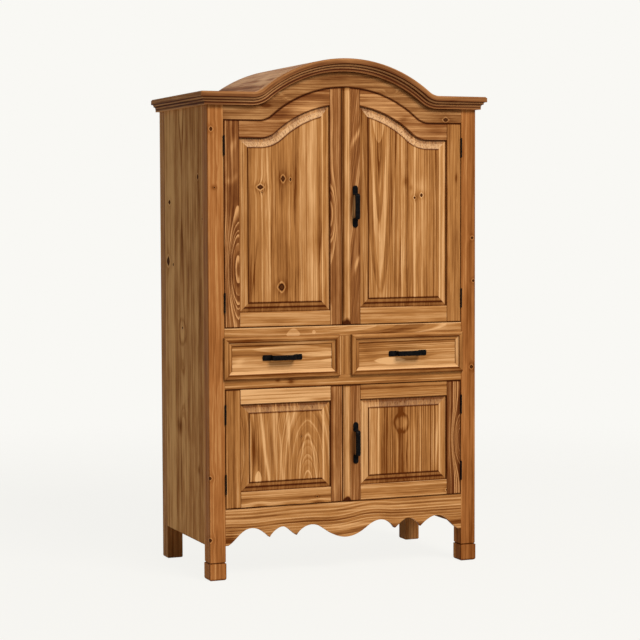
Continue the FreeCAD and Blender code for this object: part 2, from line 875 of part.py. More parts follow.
def drawer_box(side):
    """Two sides, a back and a bottom let into grooves."""
    span = drawer_span(side)
    x0 = span[0] + drawer_side_play
    x1 = span[1] - drawer_side_play
    y0 = front - drawer_recess + drawer_panel_thickness
    y1 = back_front - drawer_back_gap
    z0 = lower_rail_top + seat_gap
    z1 = z0 + drawer_box_height
    floor = z0 + drawer_bottom_lift
    inner0 = x0 + drawer_side
    inner1 = x1 - drawer_side
    groove = drawer_bottom_groove
    end = y1 - drawer_side + groove
    bottom = box(inner0 - groove, inner1 + groove, y0, end, floor, floor + drawer_bottom)
    left = box(x0, inner0, y0, y1, z0, z1).cut(bottom)
    right = box(inner1, x1, y0, y1, z0, z1).cut(bottom)
    back = box(inner0, inner1, y1 - drawer_side, y1, z0, z1).cut(bottom)
    return [left, right, back, bottom]


def drawer_guides():
    """Strips on the dust board that the drawer sides run between."""
    y1 = rear - post_size
    z0 = lower_rail_top
    z1 = z0 + guide_size
    away = drawer_side_play - guide_play
    outer = -post_inner + away
    left = box(outer - guide_size, outer, front + post_size, y1, z0, z1)
    mid0 = drawer_split - divider_width / 2 - away
    mid1 = drawer_split + divider_width / 2 + away
    middle = box(mid0, mid1, frame_back, y1, z0, z1)
    return [left, middle, mirrored(left)]


def drawer_divider():
    x0 = drawer_split - divider_width / 2
    x1 = drawer_split + divider_width / 2
    board = box(x0, x1, front, frame_back, lower_rail_top, upper_rail_bottom)
    return eased(board, front)


def case_pieces():
    """Everything that stands still."""
    front_cuts = side_tongues()[:1]
    front_cuts += rail_tenons(case_clearance, apron_top)[:1]
    front_cuts += rail_tenons(lower_rail_bottom, lower_rail_top)[:1]
    front_cuts += rail_tenons(upper_rail_bottom, upper_rail_top)[:1]
    front_cuts += rail_tenons(opening_shoulder, case_top)[:1]
    rear_cuts = side_tongues()[1:] + back_tongues()[:1]
    fore = front_post().cut(front_cuts)
    aft = rear_post().cut(rear_cuts)
    side = side_panel()
    strip = crown_return()
    pieces = {
        "post_front_left": fore,
        "post_front_right": mirrored(fore),
        "post_rear_left": aft,
        "post_rear_right": mirrored(aft),
        "side_panel_left": side,
        "side_panel_right": mirrored(side),
        "back_panel": back_panel(),
        "back_rails": Part.makeCompound(back_rails()),
        "header_rail": header_rail(),
        "rail_above_drawers": front_rail(upper_rail_bottom, upper_rail_top),
        "rail_below_drawers": front_rail(lower_rail_bottom, lower_rail_top),
        "drawer_divider": drawer_divider(),
        "apron": apron(),
        "crown_front": crown_front(),
        "crown_return_left": strip,
        "crown_return_right": mirrored(strip),
        "roof_boards": roof_boards(),
        "upper_floor": deck(upper_rail_top),
        "dust_board": deck(lower_rail_top),
        "lower_floor": deck(apron_top),
        "shelves": Part.makeCompound([shelf(top) for top in shelf_tops()]),
        "shelf_cleats": Part.makeCompound(shelf_cleats()),
        "drawer_guides": Part.makeCompound(drawer_guides()),
        "door_stops": Part.makeCompound(door_stops()),
    }
    return pieces


def door_pieces():
    """The four doors with their hinges, beads and pulls."""
    lower_foot = apron_top + door_gap
    upper_foot = upper_rail_top + door_gap
    lower_line = LevelLine(lower_rail_bottom - door_gap)
    lower_top = lower_line.inset(lower_top_rail)
    plans = [
        ("upper_left", -1, upper_foot, door_line, panel_line, left_bottom_rail, left_meeting_stile),
        ("upper_right", 1, upper_foot, door_line, panel_line, right_bottom_rail, right_meeting_stile),
        ("lower_left", -1, lower_foot, lower_line, lower_top, lower_bottom_rail, left_meeting_stile),
        ("lower_right", 1, lower_foot, lower_line, lower_top, lower_bottom_rail, right_meeting_stile),
    ]
    pieces = {}
    post_leaves = []
    pins = []
    for name, side, z0, line, opening_top, bottom_rail, meeting_stile in plans:
        wood = door(side, z0, line, opening_top, bottom_rail, meeting_stile)
        if line is lower_line:
            wood["rails"] = Part.makeCompound([wood.pop("top_rail"), wood.pop("bottom_rail")])
        for part_name, shape in wood.items():
            pieces["door_" + name + "_" + part_name] = shape
        turn = mirrored if side > 0 else Part.Shape.copy
        feet = hinge_feet(z0, line)
        post_leaves += [turn(leaf(foot, -post_inner, 0)) for foot in feet]
        pins += [turn(hinge_pin(foot)) for foot in feet]
        door_x = -post_inner + leaf_thickness + leaf_clearance
        leaves = [turn(leaf(foot, door_x, 1)) for foot in feet]
        pieces["door_" + name + "_hinge_leaves"] = Part.makeCompound(leaves)
        if side > 0:
            edge = meeting_line + meeting_gap / 2
            pull_x = edge + (astragal_width + right_meeting_stile) / 2
            pieces["door_" + name + "_astragal"] = astragal(z0, line)
            pieces["door_" + name + "_pull"] = upright_pull(pull_x, (z0 + line.peak) / 2)
    pieces["hinge_post_leaves"] = Part.makeCompound(post_leaves)
    pieces["hinge_pins"] = Part.makeCompound(pins)
    return pieces


def drawer_pieces():
    """Both drawers."""
    pieces = {}
    for name, side in (("left", -1), ("right", 1)):
        x0, x1 = drawer_span(side)
        z = (lower_rail_top + upper_rail_bottom) / 2
        pieces["drawer_" + name + "_panel"] = drawer_panel(side)
        pieces["drawer_" + name + "_moulding"] = Part.makeCompound(drawer_moulding(side))
        pieces["drawer_" + name + "_box"] = Part.makeCompound(drawer_box(side))
        pieces["drawer_" + name + "_pull"] = level_pull((x0 + x1) / 2, front - drawer_recess, z)
    return pieces


os.makedirs("parts", exist_ok=True)
for pieces in (case_pieces(), door_pieces(), drawer_pieces()):
    for name, shape in pieces.items():
        shape.exportStep("parts/" + name + ".step")
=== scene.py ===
import math

import bpy
import numpy as np
from mathutils import Matrix, Vector


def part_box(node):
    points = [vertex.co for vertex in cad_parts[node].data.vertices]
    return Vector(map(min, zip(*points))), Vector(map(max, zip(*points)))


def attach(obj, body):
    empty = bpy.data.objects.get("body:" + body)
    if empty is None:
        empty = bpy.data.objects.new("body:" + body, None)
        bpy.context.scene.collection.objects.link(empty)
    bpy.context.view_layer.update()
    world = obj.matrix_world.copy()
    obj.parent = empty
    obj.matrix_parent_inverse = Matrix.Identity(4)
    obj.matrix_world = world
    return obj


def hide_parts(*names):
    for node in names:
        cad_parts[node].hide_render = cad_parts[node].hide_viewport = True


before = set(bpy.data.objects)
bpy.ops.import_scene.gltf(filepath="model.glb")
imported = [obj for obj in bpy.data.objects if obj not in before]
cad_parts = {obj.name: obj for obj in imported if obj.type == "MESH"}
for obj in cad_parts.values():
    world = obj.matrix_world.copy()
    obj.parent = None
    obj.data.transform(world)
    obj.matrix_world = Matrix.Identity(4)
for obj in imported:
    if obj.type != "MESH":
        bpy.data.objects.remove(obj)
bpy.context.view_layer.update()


# The four posts of stained pine stand from the floor to the roof, and the rails and side
# boards are let into them. The front pair ends in a block foot below a scored groove.
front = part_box("header_rail")[0].y
foot_top = 0.066
foot_groove = 0.005
ring_width = 0.008


def stain(red, green, blue):
    """A colour given in 0 to 255 steps, as the linear colour that a shader mixes."""
    shares = np.array([red, green, blue]) / 255
    linear = np.where(shares <= 0.04045, shares / 12.92, ((shares + 0.055) / 1.055) ** 2.4)
    return (*linear.tolist(), 1.0)


# The wax colour, which also paints shade in gaps, in recesses and under lips.
wax_and_shade = stain(66, 22, 2)
seam_dark_reach = 0.0045
seam_dark_strength = 0.75
wax_and_shade_cover = 0.9
dirt_and_shade_depth = 0.55
soaked_tone = 0.42
worn_width = 0.003
ring_ripple = 0.004
grain_height = 0.00035
knot_dark, knot_pale = stain(50, 18, 2), stain(112, 64, 24)
pale_fibre, dark_fibre = stain(224, 180, 134), stain(122, 72, 32)

# How fine each noise is: waves in a metre along, across and through a board.
slow_waves = (1.3, 5.0, 5.0)
quick_waves = (7.0, 40.0, 40.0)
cloud_waves = (5.0, 18.0, 18.0)
streak_waves = (3.0, 130.0, 130.0)
fibre_waves = (18.0, 700.0, 700.0)
torn_waves = (75.0, 260.0, 75.0)


class Signal:
    """One socket of a node tree. Sums on it add Math nodes to the tree."""

    def __init__(self, tree, socket):
        self.tree = tree
        self.socket = socket

    def math(self, operation, *inputs):
        """A Math node on these numbers or signals."""
        return self.tree.node("ShaderNodeMath", {"operation": operation}, dict(enumerate(inputs)))

    def __add__(self, other):
        return self.math("ADD", self, other)

    __radd__ = __add__

    def __mul__(self, other):
        return self.math("MULTIPLY", self, other)

    __rmul__ = __mul__

    def __sub__(self, other):
        return self.math("SUBTRACT", self, other)

    def __rsub__(self, other):
        return self.math("SUBTRACT", other, self)

    def __truediv__(self, other):
        return self.math("DIVIDE", self, other)

    def __neg__(self):
        return self.math("MULTIPLY", self, -1)

    def __abs__(self):
        return self.math("ABSOLUTE", self)

    def one(self, operation):
        """A function of this value alone, such as its square root."""
        return self.math(operation, self)

    def least(self, other):
        """The smaller of two values."""
        return self.math("MINIMUM", self, other)

    def most(self, other):
        """The larger of two values."""
        return self.math("MAXIMUM", self, other)

    def under(self, limit):
        """One below the limit and zero above it."""
        return self.math("LESS_THAN", self, limit)

    def rise(self, low, high):
        """Zero below low, one above high and an even S between them."""
        ends = {"Value": self, "From Min": low, "From Max": high}
        return self.tree.node("ShaderNodeMapRange", {"interpolation_type": "SMOOTHSTEP"}, ends)

    def hump(self, centre, reach):
        """One at the centre, falling to zero this far from it."""
        return 1 - abs(self - centre).rise(0, reach)


class NodeTree:
    """The nodes of one finish, or of the room's light."""

    def __init__(self, owner):
        owner.use_nodes = True
        self.nodes = owner.node_tree.nodes
        self.links = owner.node_tree.links

    def give(self, socket, value):
        """Links a signal to a socket, or sets the socket's own value."""
        if isinstance(value, Signal):
            self.links.new(value.socket, socket)
        else:
            socket.default_value = value

    def node(self, kind, settings, inputs, output=0):
        """Adds a node: its settings first, then a value or a link for each socket."""
        made = self.nodes.new(kind)
        for name, value in settings.items():
            if name == "stops":
                self.set_stops(made.color_ramp, *value)
            else:
                setattr(made, name, value)
        for name, value in inputs.items():
            self.give(made.inputs[name], value)
        return Signal(self, made.outputs[output])

    def set_stops(self, ramp, interpolation, stops):
        """The places and colours of a ramp."""
        ramp.interpolation = interpolation
        while len(ramp.elements) < len(stops):
            ramp.elements.new(1.0)
        for element, (place, value) in zip(ramp.elements, stops):
            element.position = place
            element.color = value

    def parts(self, vector):
        """The three numbers of a vector."""
        return [self.node("ShaderNodeSeparateXYZ", {}, {0: vector}, output=axis) for axis in "XYZ"]


class Finish(NodeTree):
    """One material."""

    def __init__(self, name):
        self.material = bpy.data.materials.new(name)
        super().__init__(self.material)

    def place(self):
        """X, Y and Z of a point of the cupboard, in metres."""
        return self.parts(self.node("ShaderNodeTexCoord", {}, {}, output="Object"))

    def amount(self, name):
        """A number that the mesh carries."""
        return self.node("ShaderNodeAttribute", {"attribute_name": name}, {}, output="Fac")

    def noise(self, point, scales, seed, detail=2.0):
        """Smooth noise from 0 to 1, with its own scale and its own start along each of three axes."""
        starts = [seed, seed + 7.3, seed + 14.6]
        moved = [value * scale + start for value, scale, start in zip(point, scales, starts)]
        vector = self.node("ShaderNodeCombineXYZ", {}, dict(enumerate(moved)))
        return self.node("ShaderNodeTexNoise", {}, {"Vector": vector, "Scale": 1.0, "Detail": detail,
                                                    "Roughness": 0.55})

    def line_noise(self, value, seed, detail=2.0):
        """Smooth noise from 0 to 1 along one number."""
        inputs = {"W": value + seed, "Scale": 1.0, "Detail": detail, "Roughness": 0.6}
        return self.node("ShaderNodeTexNoise", {"noise_dimensions": "1D"}, inputs)

    def mix(self, share, first, second):
        """Share 0 gives the first colour and share 1 the second."""
        factor, first_colour, second_colour, result = 0, 6, 7, 2
        colours = {factor: share, first_colour: first, second_colour: second}
        return self.node("ShaderNodeMix", {"data_type": "RGBA"}, colours, output=result)

    def bump(self, height, scale):
        """A normal that leans as if the surface rose by the height times the scale."""
        return self.node("ShaderNodeBump", {}, {"Strength": 1.0, "Distance": scale, "Height": height})

    def done(self, colour, roughness, normal, specular):
        """Gives the surface its colour, roughness and normal, and returns the material."""
        shader = self.nodes["Principled BSDF"]
        for name, value in (("Base Color", colour), ("Roughness", roughness), ("Normal", normal),
                            ("Specular IOR Level", specular)):
            self.give(shader.inputs[name], value)
        return self.material


def off_spot(along, across, middle_along, middle_across, length, width, slant=0.0):
    """How far a point lies off the middle of a slanting spot, in lengths and in widths of it."""
    ahead = along - middle_along
    return ahead / length, (across - middle_across - ahead * slant) / width


def distance(first, *others):
    """The square root of the sum of the squares."""
    total = first * first
    for other in others:
        total = total + other * other
    return total.one("SQRT")


def bell(ahead, beside):
    """A bell curve: one in the middle, and e to the minus square of the distance round it."""
    return (-(ahead * ahead + beside * beside)).one("EXPONENT")


def add_knots(radius, tone, along, across, depth, face, ragged, knots):
    """The rings and the tone with knots in them, and how far each knot is, in radii.

    That measure lies between a ball's and a diamond's. The rings bulge round a knot by a
    bell curve, and the knot lies in a pale ring, in wood that is a little deeper.
    """
    cores = []
    for knot_along, knot_across, size, slender, bend in knots:
        ahead, beside = off_spot(along, across, knot_along, knot_across, size * slender, size)
        under = (depth - face) / (2 * size)
        ball = distance(ahead, beside, under)
        diamond = abs(ahead) + abs(beside) + abs(under)
        radius = radius + (-(ball * ball) * 0.12).one("EXPONENT") * (bend * size)
        away = ball * 0.5 + diamond * 0.4 + ragged * 0.8
        cores.append(away)
        tone = tone + away.hump(1.35, 0.4) * 0.4 - (1 - away.rise(1.4, 4.0)) * 0.16
    return radius, tone, cores


def add_marks(tone, along, across, ragged, burls, plumes, flames, arches, worn):
    """The tone with a board's own marks, whose edges are made ragged by noise.

    A burl is a spot with a ring of the opposite tone round it. A plume is a bell curve. A
    flame has sharp edges, where the way across it is one less the square of the way along.
    An arch holds the points that lie further past its tip than the square of their way
    across. An arris highlight is a painted highlight, a pale line along the board. All are in the mark's
    own units.
    """
    for *spot, change in burls:
        ahead, beside = off_spot(along, across, *spot)
        away = distance(ahead, beside) + ragged * 1.4
        tone = tone + ((1 - away.rise(0.6, 1.2)) * 0.7 - away.hump(1.6, 0.5)) * change
    for *spot, change in plumes:
        ahead, beside = off_spot(along, across + ragged * 0.012, *spot)
        tone = tone + bell(ahead, beside) * change
    for *spot, change in flames:
        ahead, beside = off_spot(along, across + ragged * 0.012, *spot)
        tone = tone + (1 - ahead * ahead - abs(beside)).rise(0.0, 0.25) * change
    for tip, middle, length, width, change in arches:
        ahead, beside = off_spot(along, across, tip, middle, length, width)
        tone = tone + (ahead - beside * beside + ragged * 0.1).rise(0.0, 0.07) * change
    # An arris highlight is a painted highlight: a pale line where a rail's top arris catches the light.
    for edge in worn:
        tone = tone + across.hump(edge, worn_width)
    return tone


seam_play = 0.0012
face_play = 0.001


def seam_wax_and_shadow(along, across, depth, axes, face, rim, gaps):
    """Wax that has gathered along a piece's ends and edges, on its face, and at curved gaps; the gap at the
    crown's foot paints the crown's shadow on the header.

    It fades with the distance to the nearest of them, less a play, or to the face if that
    is further off.
    """
    near = (along - rim[0]).least(rim[1] - along)
    for edge in rim[2:]:
        near = near.least(abs(across - edge))
    for edge_line in gaps:
        near = near.least(edge_line.gap(along, across, axes) - seam_play)
    near = near.most(abs(depth - face) - face_play)
    return (1 - near.rise(0.0, seam_dark_reach)) * seam_dark_strength


def torn_grain(finish, colour, along, across, depth, seed):
    """Pale torn fibres, with dark ones among them, where a bevel cuts across the grain.

    The noise is long along lines that lean out to both sides of the middle of the front.
    """
    streak = [along, abs(across) - along * 0.35, depth]
    torn = finish.noise(streak, torn_waves, seed + 4.4, detail=3.0)
    end = finish.amount("end_grain")
    colour = finish.mix(end * torn.rise(0.3, 0.55) * 0.9, colour, pale_fibre)
    return finish.mix(end * torn.rise(0.5, 0.62) * 0.75, colour, dark_fibre)


def late_wood(finish, count, seed):
    """The line of late wood that swells over each ring's second half, with its own strength."""
    turn = count.one("FRACT")
    vigour = finish.node("ShaderNodeTexWhiteNoise", {"noise_dimensions": "1D"},
                         {"W": count.one("FLOOR") + seed})
    return turn.rise(0.35, 0.9) * (1 - turn.rise(0.93, 1.0)) * (vigour * 0.8 + 0.2)


def pine(name, axes, tones, seed, pith=(0.0, 0.05), lean=(0.0, 0.02), wander=0.012, ring=ring_width,
         light=0.0, strips=(), knots=(), burls=(), swells=(), plumes=(), flames=(), arches=(), figure=1.0,
         line=0.35, cloud=0.5, rim=(), gaps=(), worn=(), soiled=None, face=front, dull=0.5, gloss=0.04,
         carried=False, glazed_and_lit=False):
    """Stained pine, worked out as a board sawn from a log.

    The number of a ring is the distance from the log's pith over the ring width. The pith
    runs along the board at a place across its face and behind it, and leans. Strips are
    boards glued edge to edge: where each starts, how far its log is shifted and its tone.

    Every mark starts with its place along and across the board. A knot goes on with its
    radius, slenderness and the bend of the rings round it, in radii. A swell, which turns
    rings into ovals, has a length, a width and a height in rings. Burls, plumes and flames
    have a length, a width, a slant and a change of tone, and arches have no slant.

    The tone, 0 deep, 0.5 middle and 1 pale, is a sum of noise along the ring number, a
    line at the end of each ring, clouds, streaks, fibres and marks, and a ramp of three
    stains colours it. Painted highlights and painted shade that the mesh carries raise and
    lower it. Soaked wood comes near one even tone. Dirt and wax on the rim and in the gaps
    near the face, with painted shade at some gaps and in what the mesh carries, lower the
    tone and are then covered by the wax colour in proportion to their square.
    """
    finish = Finish(name)
    if carried:
        along, across, depth = finish.parts(finish.node("ShaderNodeAttribute", {"attribute_name": "board"},
                                                        {}, "Vector"))
    else:
        place = dict(zip("xyz", finish.place()))
        along, across, depth = [place[axis] for axis in axes]
    point = [along, across, depth]
    tone = 0.5 + light
    shift = 0.0
    if strips:
        low = strips[0][0]
        wide = strips[-1][0] - low + 1.0
        stops = [((edge - low) / wide, (move, 0.5 + change, 0.0, 1.0)) for edge, move, change in strips]
        step = finish.node("ShaderNodeValToRGB", {"stops": ("CONSTANT", stops)}, {0: (across - low) / wide})
        shift = finish.node("ShaderNodeSeparateColor", {}, {0: step}, output="Red")
        tone = finish.node("ShaderNodeSeparateColor", {}, {0: step}, output="Green") + light
    slow = finish.noise(point, slow_waves, seed, detail=1.0) - 0.5
    quick = finish.noise(point, quick_waves, seed + 3.1) - 0.5
    aside = across - pith[0] - along * lean[0] + shift * 0.4
    behind = depth - face - pith[1] - along * lean[1] + shift * 0.05
    radius = distance(aside, behind) + slow * wander + quick * ring_ripple
    for *spot, rings in swells:
        ahead, beside = off_spot(along, across, *spot)
        radius = radius + bell(ahead, beside) * (rings * ring)
    radius, tone, cores = add_knots(radius, tone, along, across, depth, face, quick, knots)
    tone = add_marks(tone, along, across, quick, burls, plumes, flames, arches, worn)
    count = radius / ring + finish.line_noise(radius * 55.0, seed) * 2.2
    band = finish.line_noise(count * 0.31, seed) - 0.5
    group = finish.line_noise(count * 0.09, seed + 40.0) - 0.5
    late = late_wood(finish, count, seed)
    clouds = finish.noise(point, cloud_waves, seed + 5.7, detail=4.0) - 0.5
    streaks = finish.noise(point, streak_waves, seed + 7.9) - 0.5
    fibres = finish.noise(point, fibre_waves, seed + 9.2, detail=1.0)
    tone = tone + band * (1.1 * figure) + group * (0.8 * figure) + (late - 0.18) * line
    tone = tone + clouds * cloud + streaks + (fibres - 0.5) * 0.4
    dirt_and_shade = soiled(along, across, depth) if soiled else None
    if rim:
        seam = seam_wax_and_shadow(along, across, depth, axes, face, rim, gaps)
        dirt_and_shade = dirt_and_shade.most(seam) if dirt_and_shade else seam
    # Carried painted highlights and painted shade, soaking, and wax with painted shade.
    if glazed_and_lit:
        tone = tone + finish.amount("painted_light") * 0.5
        tone = tone + (soaked_tone - tone) * finish.amount("soaked")
        dirt_and_shade = finish.amount("glaze_and_shade")
    if dirt_and_shade:
        tone = tone - dirt_and_shade * dirt_and_shade_depth
    stops = list(zip((0.0, 0.5, 1.0), tones))
    colour = finish.node("ShaderNodeValToRGB", {"stops": ("LINEAR", stops)}, {0: tone})
    for away in cores:
        heart = finish.mix((away * 6.0).one("SINE") * 0.2 + 0.2, knot_dark, knot_pale)
        colour = finish.mix(1 - away.rise(0.8, 1.15), colour, heart)
    if glazed_and_lit:
        colour = torn_grain(finish, colour, along, across, depth, seed)
    if dirt_and_shade:
        colour = finish.mix(dirt_and_shade * dirt_and_shade * wax_and_shade_cover, colour, wax_and_shade)
    grain = late * 0.6 + fibres * 0.5
    roughness = dull + clouds * 0.2 - late * 0.08
    return finish.done(colour, roughness, finish.bump(grain, grain_height), gloss)


def dress(node, material):
    """Gives a CAD node its finish."""
    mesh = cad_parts[node].data
    mesh.materials.clear()
    mesh.materials.append(material)


def edges_of(node, axes):
    """The ends and the two long edges of a CAD node, for its rim of wax."""
    low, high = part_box(node)
    ends = ["xyz".index(axis) for axis in axes[:2]]
    return [corner[end] for end in ends for corner in (low, high)]


post_tones = stain(110, 58, 18), stain(164, 104, 54), stain(210, 156, 98)
side_tones = stain(112, 62, 20), stain(172, 118, 68), stain(216, 166, 108)
groove_wax = 0.004
sole_dirt = 0.012


def post_soil(along, *_):
    """Dark wax in the groove over a foot, and old dirt on the sole."""
    groove = along.hump(foot_top + foot_groove / 2, groove_wax) * 0.8
    return groove.most((1 - along.rise(0.0, sole_dirt)) * 0.6)


left_knots = [(1.748, -0.56, 0.006, 1.2, 1.0), (0.402, -0.573, 0.006, 1.0, 1.0),
              (0.16, -0.574, 0.007, 1.0, 1.0), (1.524, -0.547, 0.003, 1.0, 1.0)]
right_knots = [(1.322, 0.56, 0.006, 1.0, 1.0), (1.148, 0.566, 0.006, 1.0, 1.0),
               (0.796, 0.557, 0.007, 1.0, 1.0)]
for name, tones, seed, light, knots, plumes in (
    ("post_front_left", post_tones, 2.0, 0.02, left_knots, [(1.524, -0.552, 0.01, 0.01, 0.0, -0.4)]),
    ("post_front_right", post_tones, 11.0, -0.15, right_knots, ()),
    ("post_rear_left", side_tones, 23.0, -0.1, [(0.9, -0.55, 0.006, 1.0, 1.0)], ()),
    ("post_rear_right", side_tones, 31.0, -0.05, [(1.3, 0.56, 0.005, 1.0, 1.0)], ()),
):
    middle = sum(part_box(name), Vector()) / 2
    soil = post_soil if "front" in name else None
    dress(name, pine(name, "zxy", tones, seed, pith=(middle.x + 0.02, 0.09), lean=(0.004, 0.006),
                     wander=0.02, light=light, knots=knots, plumes=plumes, figure=0.6, cloud=0.55,
                     line=0.25, soiled=soil, gloss=0.015, rim=edges_of(name, "zxy")))


# The side walls are pine boards glued edge to edge, standing in grooves of the posts, and
# the back is one skin of upright boards with a shallow groove at each joint.
side_edges = [(front, 0.55, -0.02), (front + 0.15, 0.0, -0.04), (front + 0.4, 0.62, 0.2)]
side_knots = [(1.471, 0.19, 0.014, 0.7, 1.0), (1.231, 0.212, 0.017, 1.0, 1.0),
              (1.219, 0.149, 0.007, 1.0, 0.5), (1.567, -0.167, 0.009, 1.0, 0.5),
              (1.404, -0.22, 0.008, 0.8, 0.5), (0.968, 0.034, 0.007, 0.8, 0.0)]
side_plumes = [(0.57, 0.078, 0.03, 0.03, 0.0, -0.7), (0.42, -0.155, 0.018, 0.012, 0.0, -0.5),
               (1.374, -0.15, 0.03, 0.02, 0.0, -0.12), (0.8, 0.07, 0.12, 0.012, 0.0, -0.25),
               (0.35, 0.055, 0.2, 0.01, 0.0, -0.25), (0.7, -0.01, 0.1, 0.02, 0.0, 0.15),
               (1.76, 0.015, 0.12, 0.006, -0.13, -0.6), (1.76, 0.055, 0.12, 0.006, 0.15, -0.6),
               (1.4, 0.034, 0.25, 0.007, 0.0, -0.5), (1.82, 0.036, 0.07, 0.01, 0.0, 0.25),
               (1.3, -0.118, 0.2, 0.005, 0.0, 0.3), (1.5, 0.2, 0.07, 0.04, 0.0, 0.18)]
side_swells = [(0.72, 0.035, 0.1, 0.03, 2.0)]
for name, seed, outside in (("side_panel_left", 5.0, 0), ("side_panel_right", 17.0, 1)):
    dress(name, pine(name, "zyx", side_tones, seed, pith=(0.036, 0.03), lean=(0.0, 0.01), strips=side_edges,
                     knots=side_knots, swells=side_swells, plumes=side_plumes, wander=0.03,
                     face=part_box(name)[outside].x, burls=[(0.95, 0.035, 0.03, 0.027, 0.0, 0.28)],
                     figure=1.1, line=0.35, cloud=1.2, light=0.1, gloss=0.005, dull=0.6,
                     rim=edges_of(name, "zyx")))

back_tones = stain(120, 80, 44), stain(176, 130, 82), stain(214, 172, 124)
back_board_count = 8
golden_share = 0.618
golden_square_share = 0.382


def glued_boards(half_width, count):
    """Strips for equal boards: their logs and tones step by shares that never repeat."""
    return [(half_width * (2 * i / count - 1), golden_square_share * i % 1,
             0.3 * (golden_share * i % 1) - 0.15) for i in range(count)]


back_strips = glued_boards(-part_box("post_rear_left")[1].x, back_board_count)
dress("back_panel", pine("back_panel", "zxy", back_tones, 41.0, pith=(0.3, 0.66), lean=(0.02, 0.01),
                         wander=0.05, strips=back_strips, gloss=0.02, dull=0.65))
dress("back_rails", pine("back_rails", "xzy", back_tones, 43.0, pith=(1.0, 0.7), dull=0.65))


# The face frame: an arched header over the doors, two rails that hold the drawers between
# them, a divider and a scalloped apron, all tenoned into the posts and flush with them.
golden_tones = stain(100, 50, 10), stain(172, 117, 63), stain(222, 172, 118)
brown_tones = stain(82, 36, 8), stain(140, 88, 45), stain(206, 152, 98)
header_tones = stain(88, 44, 12), stain(142, 94, 51), stain(196, 146, 94)
door_gap = 0.0025
opening_rise = 0.135
opening_round = 0.476
opening_hollow = 0.085
opening_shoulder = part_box("door_upper_left_hinge_stile")[1].z + door_gap


class ArchLine:
    """Level shoulders that turn through a hollow into one round arch over X zero."""

    def __init__(self, shoulder, rise, round_radius, hollow_radius):
        self.shoulder = shoulder
        self.rise = rise
        self.round_radius = round_radius
        self.hollow_radius = hollow_radius
        self.peak = shoulder + rise
        span = round_radius + hollow_radius
        self.reach = math.sqrt(2 * span * rise - rise * rise)
        self.angle = math.asin(self.reach / span)
        self.touch = round_radius * self.reach / span

    def inset(self, depth):
        """The line this far below and inside it."""
        return ArchLine(self.shoulder - depth, self.rise, self.round_radius - depth,
                        self.hollow_radius + depth)

    def height_at(self, x):
        """The shoulder beyond the reach, then the hollow's circle, then the arch's."""
        out = np.abs(x)
        beside = np.clip(self.reach - out, 0, self.hollow_radius)
        hollow = self.shoulder + self.hollow_radius - np.sqrt(self.hollow_radius ** 2 - beside ** 2)
        under = np.clip(out, 0, self.touch)
        arch = self.peak - self.round_radius + np.sqrt(self.round_radius ** 2 - under ** 2)
        return np.where(out >= self.reach, self.shoulder, np.where(out >= self.touch, hollow, arch))

    def gap(self, along, across, axes):
        """How far a point of the front lies from the line, for a shader."""
        x, z = (along, across) if axes[0] == "x" else (across, along)
        out = abs(x)
        up = z - (self.peak - self.round_radius)
        arch = abs(distance(out, up) - self.round_radius)
        beside, over = out - self.reach, z - (self.shoulder + self.hollow_radius)
        hollow = abs(distance(beside, over) - self.hollow_radius)
        in_arch, in_bend = out.under(self.touch), out.under(self.reach)
        return arch * in_arch + hollow * (in_bend - in_arch) + abs(z - self.shoulder) * (1 - in_bend)


